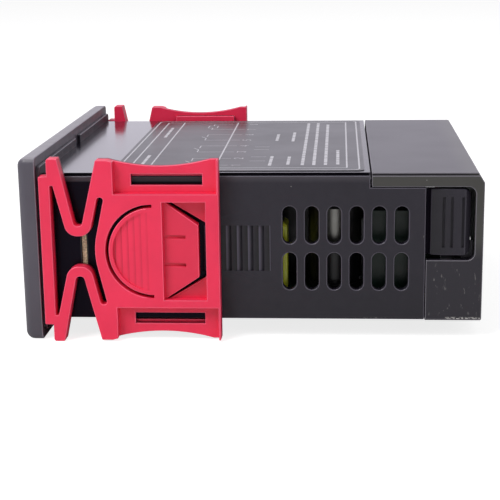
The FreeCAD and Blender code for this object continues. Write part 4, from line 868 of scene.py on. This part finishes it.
def label_fine_lines():
    """Rows of fine bars, each about as long as a word."""
    chance = random.Random(11)
    runs = []
    for x, near, far in FINE_LINES:
        y = near
        while y < far:
            word = chance.uniform(1.2, 4.6)
            runs.append([(x, y), (x, min(far, y + word))])
            y += word + 0.9
    return runs


# Sizes and colours that a user would change

class ControllerLooks(bpy.types.PropertyGroup):
    """Colours of the finishes and the sizes of the small rounds and printing."""

    housing_colour: bpy.props.FloatVectorProperty(
        name="Housing", description="Colour of the housing's plastic", subtype="COLOR", size=4,
        min=0.0, max=1.0, default=linear("#211d28"),
    )
    bezel_colour: bpy.props.FloatVectorProperty(
        name="Frame", description="Colour of the front frame's plastic", subtype="COLOR", size=4,
        min=0.0, max=1.0, default=linear("#54505a"),
    )
    cover_colour: bpy.props.FloatVectorProperty(
        name="Rear cover", description="Colour of the rear cover's plastic", subtype="COLOR", size=4,
        min=0.0, max=1.0, default=linear("#1f1b25"),
    )
    clip_colour: bpy.props.FloatVectorProperty(
        name="Clips", description="Colour of the mounting clips", subtype="COLOR", size=4,
        min=0.0, max=1.0, default=linear("#f22e55"),
    )
    label_colour: bpy.props.FloatVectorProperty(
        name="Label", description="Ground colour of the wiring label", subtype="COLOR", size=4,
        min=0.0, max=1.0, default=linear("#2c2b2f"),
    )
    board_colour: bpy.props.FloatVectorProperty(
        name="Circuit boards", description="Colour of the laminate", subtype="COLOR", size=4,
        min=0.0, max=1.0, default=linear("#b5a98a"),
    )
    window_tint: bpy.props.FloatVectorProperty(
        name="Window", description="Tint of the display window", subtype="COLOR", size=4,
        min=0.0, max=1.0, default=linear("#4a2a2e"),
    )
    moulded_edge: bpy.props.FloatProperty(
        name="Moulded edges", description="Width of the round on the housing's edges", unit="LENGTH",
        min=0.0, max=0.5 * MM, default=0.16 * MM, precision=5,
    )
    clip_edge: bpy.props.FloatProperty(
        name="Clip edges", description="Width of the round on the clips' edges", unit="LENGTH",
        min=0.0, max=0.5 * MM, default=0.15 * MM, precision=5,
    )
    line_width: bpy.props.FloatProperty(
        name="Printed lines", description="Width of the label's printed lines", unit="LENGTH",
        min=0.05 * MM, max=1.0 * MM, default=0.3 * MM, precision=5,
    )


class CONTROLLER_OT_housing(bpy.types.Operator):
    """Dress the sleeve of the housing"""

    bl_idname = "controller.housing"
    bl_label = "Housing"

    def execute(self, context):
        looks = context.scene.controller_looks
        plastic = housing_plastic(looks)
        dress("main_housing", plastic, looks.moulded_edge, housing_edge_highlight_and_wear(looks), plain_on_housing)
        make_housing_ribs(plastic)
        return {"FINISHED"}


class CONTROLLER_OT_bezel(bpy.types.Operator):
    """Dress the front frame"""

    bl_idname = "controller.bezel"
    bl_label = "Front frame"

    def execute(self, context):
        looks = context.scene.controller_looks
        # The frame's edges are paler: a painted highlight where they catch the light, and wear.
        lighter = moulded("Moulded ABS, rubbed frame edges", linear("#807c86"), 0.34)
        dress("front_bezel", frame_plastic(looks), looks.moulded_edge, lighter)
        return {"FINISHED"}


class CONTROLLER_OT_rear_cover(bpy.types.Operator):
    """Dress the cover over the terminals"""

    bl_idname = "controller.rear_cover"
    bl_label = "Rear cover"

    def execute(self, context):
        looks = context.scene.controller_looks
        # The cover's edges are paler: a painted highlight where they catch the light, and wear.
        lighter = moulded("Moulded ABS, rubbed cover edges", linear("#66636a"), 0.36)
        dress("rear_cover", cover_plastic(looks), looks.moulded_edge, lighter)
        return {"FINISHED"}


class CONTROLLER_OT_clips(bpy.types.Operator):
    """Dress both mounting clips"""

    bl_idname = "controller.clips"
    bl_label = "Mounting clips"

    def execute(self, context):
        looks = context.scene.controller_looks
        plastic = clip_plastic(looks)
        # The clips' edges are paler: a painted highlight where they catch the light, and wear where they
        # have been handled.
        lighter = moulded("Moulded acetal, rubbed clip edges", linear("#fa5878"), 0.36)
        for side in ("right", "left"):
            dress("mounting_clip_" + side, plastic, looks.clip_edge, lighter, plain_on_clip)
        return {"FINISHED"}


class CONTROLLER_OT_front(bpy.types.Operator):
    """Dress the window, the displays behind it, the keys and their switches"""

    bl_idname = "controller.front"
    bl_label = "Window, displays and keys"

    def execute(self, context):
        looks = context.scene.controller_looks
        dress("display_window", window_acrylic(looks), looks.moulded_edge)
        # Moulded polycarbonate: grey case, satin.
        case = moulded("Moulded polycarbonate, display case", linear("#2b2a2d"), 0.45)
        # Diffusing epoxy in the segments, pale and unlit.
        diffuser = moulded("Cast epoxy, unlit segments", linear("#8f8a86"), 0.5)
        for node in ("display_upper", "display_lower"):
            dress(node, case, looks.moulded_edge)
            facing_plates(node + "_segments", segment_shapes(node), node, diffuser)
        # Moulded ABS with a fine satin, so the caps look dry beside the polished window.
        cap = moulded("Moulded ABS, keys", linear("#8b898f"), 0.5)
        # Moulded nylon, black and satin.
        nylon = moulded("Moulded nylon, switches", linear("#222125"), 0.4)
        # Pad-printed ink, dark against the cap.
        ink = moulded("Pad printed ink, key symbols", linear("#2a292c"), 0.4, 0.1 * MM, 0.004 * MM)
        for key in KEYS:
            dress("button_" + key, cap, looks.moulded_edge)
            facing_plates("symbol_" + key, symbol_shapes(key), "button_" + key, ink)
            dress("plunger_" + key, nylon, looks.moulded_edge)
            dress("switch_" + key, nylon, looks.moulded_edge)
        return {"FINISHED"}


class CONTROLLER_OT_label(bpy.types.Operator):
    """Dress the wiring label and print its frames, its wiring diagram, its numbers and its ruled lines"""

    bl_idname = "controller.label"
    bl_label = "Wiring label"

    def execute(self, context):
        looks = context.scene.controller_looks
        dress("wiring_label", label_film(looks), 0.0)
        ink = silver_ink()
        width = looks.line_width
        print_runs("label_frames", label_frames(), width, ink)
        print_runs("label_diagram", label_diagram(), width * 0.7, ink)
        print_runs("label_numbers", label_numbers(), width * 0.75, ink)
        print_runs("label_fine_lines", label_fine_lines(), LABEL_BAR, ink)
        return {"FINISHED"}


class CONTROLLER_OT_electronics(bpy.types.Operator):
    """Dress the circuit boards and the parts on them"""

    bl_idname = "controller.electronics"
    bl_label = "Boards and parts"

    def execute(self, context):
        looks = context.scene.controller_looks
        edge = looks.moulded_edge
        front_board = laminate(looks, "front board", "X")
        dress("display_board", front_board, 0.0)
        make_board_tabs(front_board)
        dress("main_board", laminate(looks, "main board", "Z"), 0.0)
        # Moulded epoxy, almost black, with the dull face of a chip.
        epoxy = moulded("Moulded epoxy, chip", linear("#1c1b1d"), 0.55)
        dress("controller_chip", epoxy, edge)
        # Drawn brass under thin tin: pale, with fine lines along the pins.
        pins = metal("Tinned brass, drawn pins", "#cfc39a", 0.3, 0.2 * MM, (0.2, 1, 1))
        dress("board_header", pins, 0.0)
        dress("transformer_core", stamped_steel(), edge)
        # Moulded nylon in its natural cream.
        nylon = moulded("Moulded nylon, bobbin", linear("#d9d3c2"), 0.45)
        dress("transformer_bobbin", nylon, edge)
        dress("transformer_winding", taped_winding(), edge)
        # Moulded polyester, black and even.
        relay = moulded("Moulded polyester, relays", linear("#26262a"), 0.35)
        for node in ("relay_heat", "relay_cool", "buzzer"):
            dress(node, relay, edge)
        can = sleeved_can()
        for node in ("supply_capacitor", "output_capacitor"):
            dress(node, can, edge)
        # Moulded polyester box, filled with resin: bright yellow and satin.
        box = moulded("Moulded polyester, film capacitor", linear("#e9ee48"), 0.22)
        dress("film_capacitor", box, edge)
        # Dipped epoxy: thick, glossy blue.
        dipped = moulded("Dipped epoxy, varistor", linear("#24509c"), 0.2, 1.2 * MM, 0.05 * MM)
        dress("varistor", dipped, edge)
        return {"FINISHED"}


class CONTROLLER_OT_terminals(bpy.types.Operator):
    """Dress the terminal strip, its cages and its screws"""

    bl_idname = "controller.terminals"
    bl_label = "Terminals"

    def execute(self, context):
        looks = context.scene.controller_looks
        # Moulded nylon, dark bottle green and satin.
        nylon = moulded("Moulded nylon, terminal strip", linear("#112a20"), 0.38)
        dress("terminal_block", nylon, looks.moulded_edge)
        # Zinc leaves a bright grey skin on the steel, with faint lines from the press.
        zinc = metal("Zinc plated steel, pressed", "#c3c4c6", 0.32, 0.25 * MM, (0.3, 1, 1))
        dress("terminal_cages", zinc, 0.0)
        dress("terminal_screws", zinc, looks.moulded_edge)
        return {"FINISHED"}


class CONTROLLER_OT_stage(bpy.types.Operator):
    """Set the floor, the lamps, the surroundings and the camera"""

    bl_idname = "controller.stage"
    bl_label = "Stage"

    def execute(self, context):
        make_floor()
        make_lamps()
        make_surroundings()
        make_camera()
        context.scene.view_settings.view_transform = "Standard"
        return {"FINISHED"}


def make_floor():
    """A white sheet that the object stands on. The eye sees it white, apart from a light shadow."""
    reach = 3.0
    ground = CAD_BOX[0].z - 0.02 * MM
    outline = [(x * reach, y * reach, ground) for x, y in ((-1, -1), (1, -1), (1, 1), (-1, 1))]
    mesh = bpy.data.meshes.new("floor")
    mesh.from_pydata(outline, [], [(0, 1, 2, 3)])
    floor = bpy.data.objects.new("floor", mesh)
    bpy.context.scene.collection.objects.link(floor)
    material = bpy.data.materials.new("Paper sweep, white")
    material.use_nodes = True
    tree = material.node_tree
    tree.nodes.clear()
    paper = add(tree, "ShaderNodeBsdfDiffuse", {"Color": linear("#e6e6e6")})
    thin = add(tree, "ShaderNodeBsdfDiffuse", {"Color": linear("#b4b4b4")})
    lift = add(tree, "ShaderNodeEmission", {"Strength": 0.8})
    seen = add(tree, "ShaderNodeAddShader", {0: thin, 1: lift})
    direct = add(tree, "ShaderNodeLightPath", output="Is Camera Ray")
    mixed = add(tree, "ShaderNodeMixShader", {0: direct, 1: paper, 2: seen})
    add(tree, "ShaderNodeOutputMaterial", {"Surface": mixed})
    mesh.materials.append(material)


def make_lamps():
    """Large soft lamps: a strong one high on the left, and weaker ones to the right and above."""
    aim = (CAD_BOX[0] + CAD_BOX[1]) / 2
    for name, place, width, power in (
        ("high left softbox", (-0.42, -0.48, 0.72), 0.45, 6.4),
        ("right softbox", (0.6, -0.55, 0.45), 0.5, 1.2),
        ("overhead softbox", (0.05, 0.15, 0.85), 0.8, 1.6),
    ):
        lamp = bpy.data.lights.new(name, "AREA")
        lamp.shape = "SQUARE"
        lamp.size = width
        lamp.energy = power
        holder = bpy.data.objects.new(name, lamp)
        holder.location = place
        holder.rotation_euler = (aim - Vector(place)).to_track_quat("-Z", "Y").to_euler()
        bpy.context.scene.collection.objects.link(holder)


def make_surroundings():
    """White where it is seen; what is mirrored is a faint violet white, dimmer towards the viewer."""
    world = bpy.data.worlds.new("white room")
    bpy.context.scene.world = world
    world.use_nodes = True
    tree = world.node_tree
    tree.nodes.clear()
    direction = add(tree, "ShaderNodeTexCoord", output="Generated")
    away = add(tree, "ShaderNodeSeparateXYZ", {0: direction}, "Y")
    path = add(tree, "ShaderNodeLightPath").node.outputs
    strength = add(tree, "ShaderNodeMapRange", {0: away, 1: -0.5, 2: 0.3, 3: 0.12, 4: 0.97})
    fill = add(tree, "ShaderNodeBackground", {"Color": linear("#fdfcff"), "Strength": 0.26})
    mirrored = add(tree, "ShaderNodeBackground", {"Color": linear("#f6f2ff"), "Strength": strength})
    seen = add(tree, "ShaderNodeBackground", {"Color": WHITE})
    glossy = add(tree, "ShaderNodeMixShader", {0: path["Is Glossy Ray"], 1: fill, 2: mirrored})
    direct = either(tree, path["Is Camera Ray"], path["Is Transmission Ray"])
    room = add(tree, "ShaderNodeMixShader", {0: direct, 1: glossy, 2: seen})
    add(tree, "ShaderNodeOutputWorld", {"Surface": room})


def make_camera():
    lens = bpy.data.cameras.new("camera")
    lens.sensor_width = 36.0
    lens.lens = CAMERA_LENS
    lens.clip_start = 0.01
    camera = bpy.data.objects.new("camera", lens)
    forward = Vector((
        math.sin(CAMERA_YAW) * math.cos(CAMERA_DOWN),
        math.cos(CAMERA_YAW) * math.cos(CAMERA_DOWN),
        -math.sin(CAMERA_DOWN),
    ))
    level = Vector((math.cos(CAMERA_YAW), -math.sin(CAMERA_YAW), 0.0))
    upright = level.cross(forward)
    right = level * math.cos(CAMERA_ROLL) + upright * math.sin(CAMERA_ROLL)
    up = upright * math.cos(CAMERA_ROLL) - level * math.sin(CAMERA_ROLL)
    turn = Matrix((right, up, -forward)).transposed().to_4x4()
    camera.matrix_world = Matrix.Translation(CAMERA_PLACE) @ turn
    bpy.context.scene.collection.objects.link(camera)
    bpy.context.scene.camera = camera


class CONTROLLER_PT_sidebar(bpy.types.Panel):
    """The controller's pieces and finishes"""

    bl_idname = "CONTROLLER_PT_sidebar"
    bl_label = "Temperature controller"
    bl_space_type = "VIEW_3D"
    bl_region_type = "UI"
    bl_category = "Controller"

    def draw(self, context):
        looks = context.scene.controller_looks
        for name in ControllerLooks.__annotations__:
            self.layout.prop(looks, name)
        for operator in OPERATORS:
            self.layout.operator(operator.bl_idname)


OPERATORS = (
    CONTROLLER_OT_housing,
    CONTROLLER_OT_bezel,
    CONTROLLER_OT_rear_cover,
    CONTROLLER_OT_clips,
    CONTROLLER_OT_front,
    CONTROLLER_OT_label,
    CONTROLLER_OT_electronics,
    CONTROLLER_OT_terminals,
    CONTROLLER_OT_stage,
)
CLASSES = (ControllerLooks,) + OPERATORS + (CONTROLLER_PT_sidebar,)


def register():
    for cls in CLASSES:
        bpy.utils.register_class(cls)
    bpy.types.Scene.controller_looks = bpy.props.PointerProperty(type=ControllerLooks)


def unregister():
    del bpy.types.Scene.controller_looks
    for cls in reversed(CLASSES):
        bpy.utils.unregister_class(cls)


def main():
    register()
    bpy.ops.controller.housing()
    bpy.ops.controller.bezel()
    bpy.ops.controller.rear_cover()
    bpy.ops.controller.clips()
    bpy.ops.controller.front()
    bpy.ops.controller.label()
    bpy.ops.controller.electronics()
    bpy.ops.controller.terminals()
    bpy.ops.controller.stage()


if __name__ == "__main__":
    main()
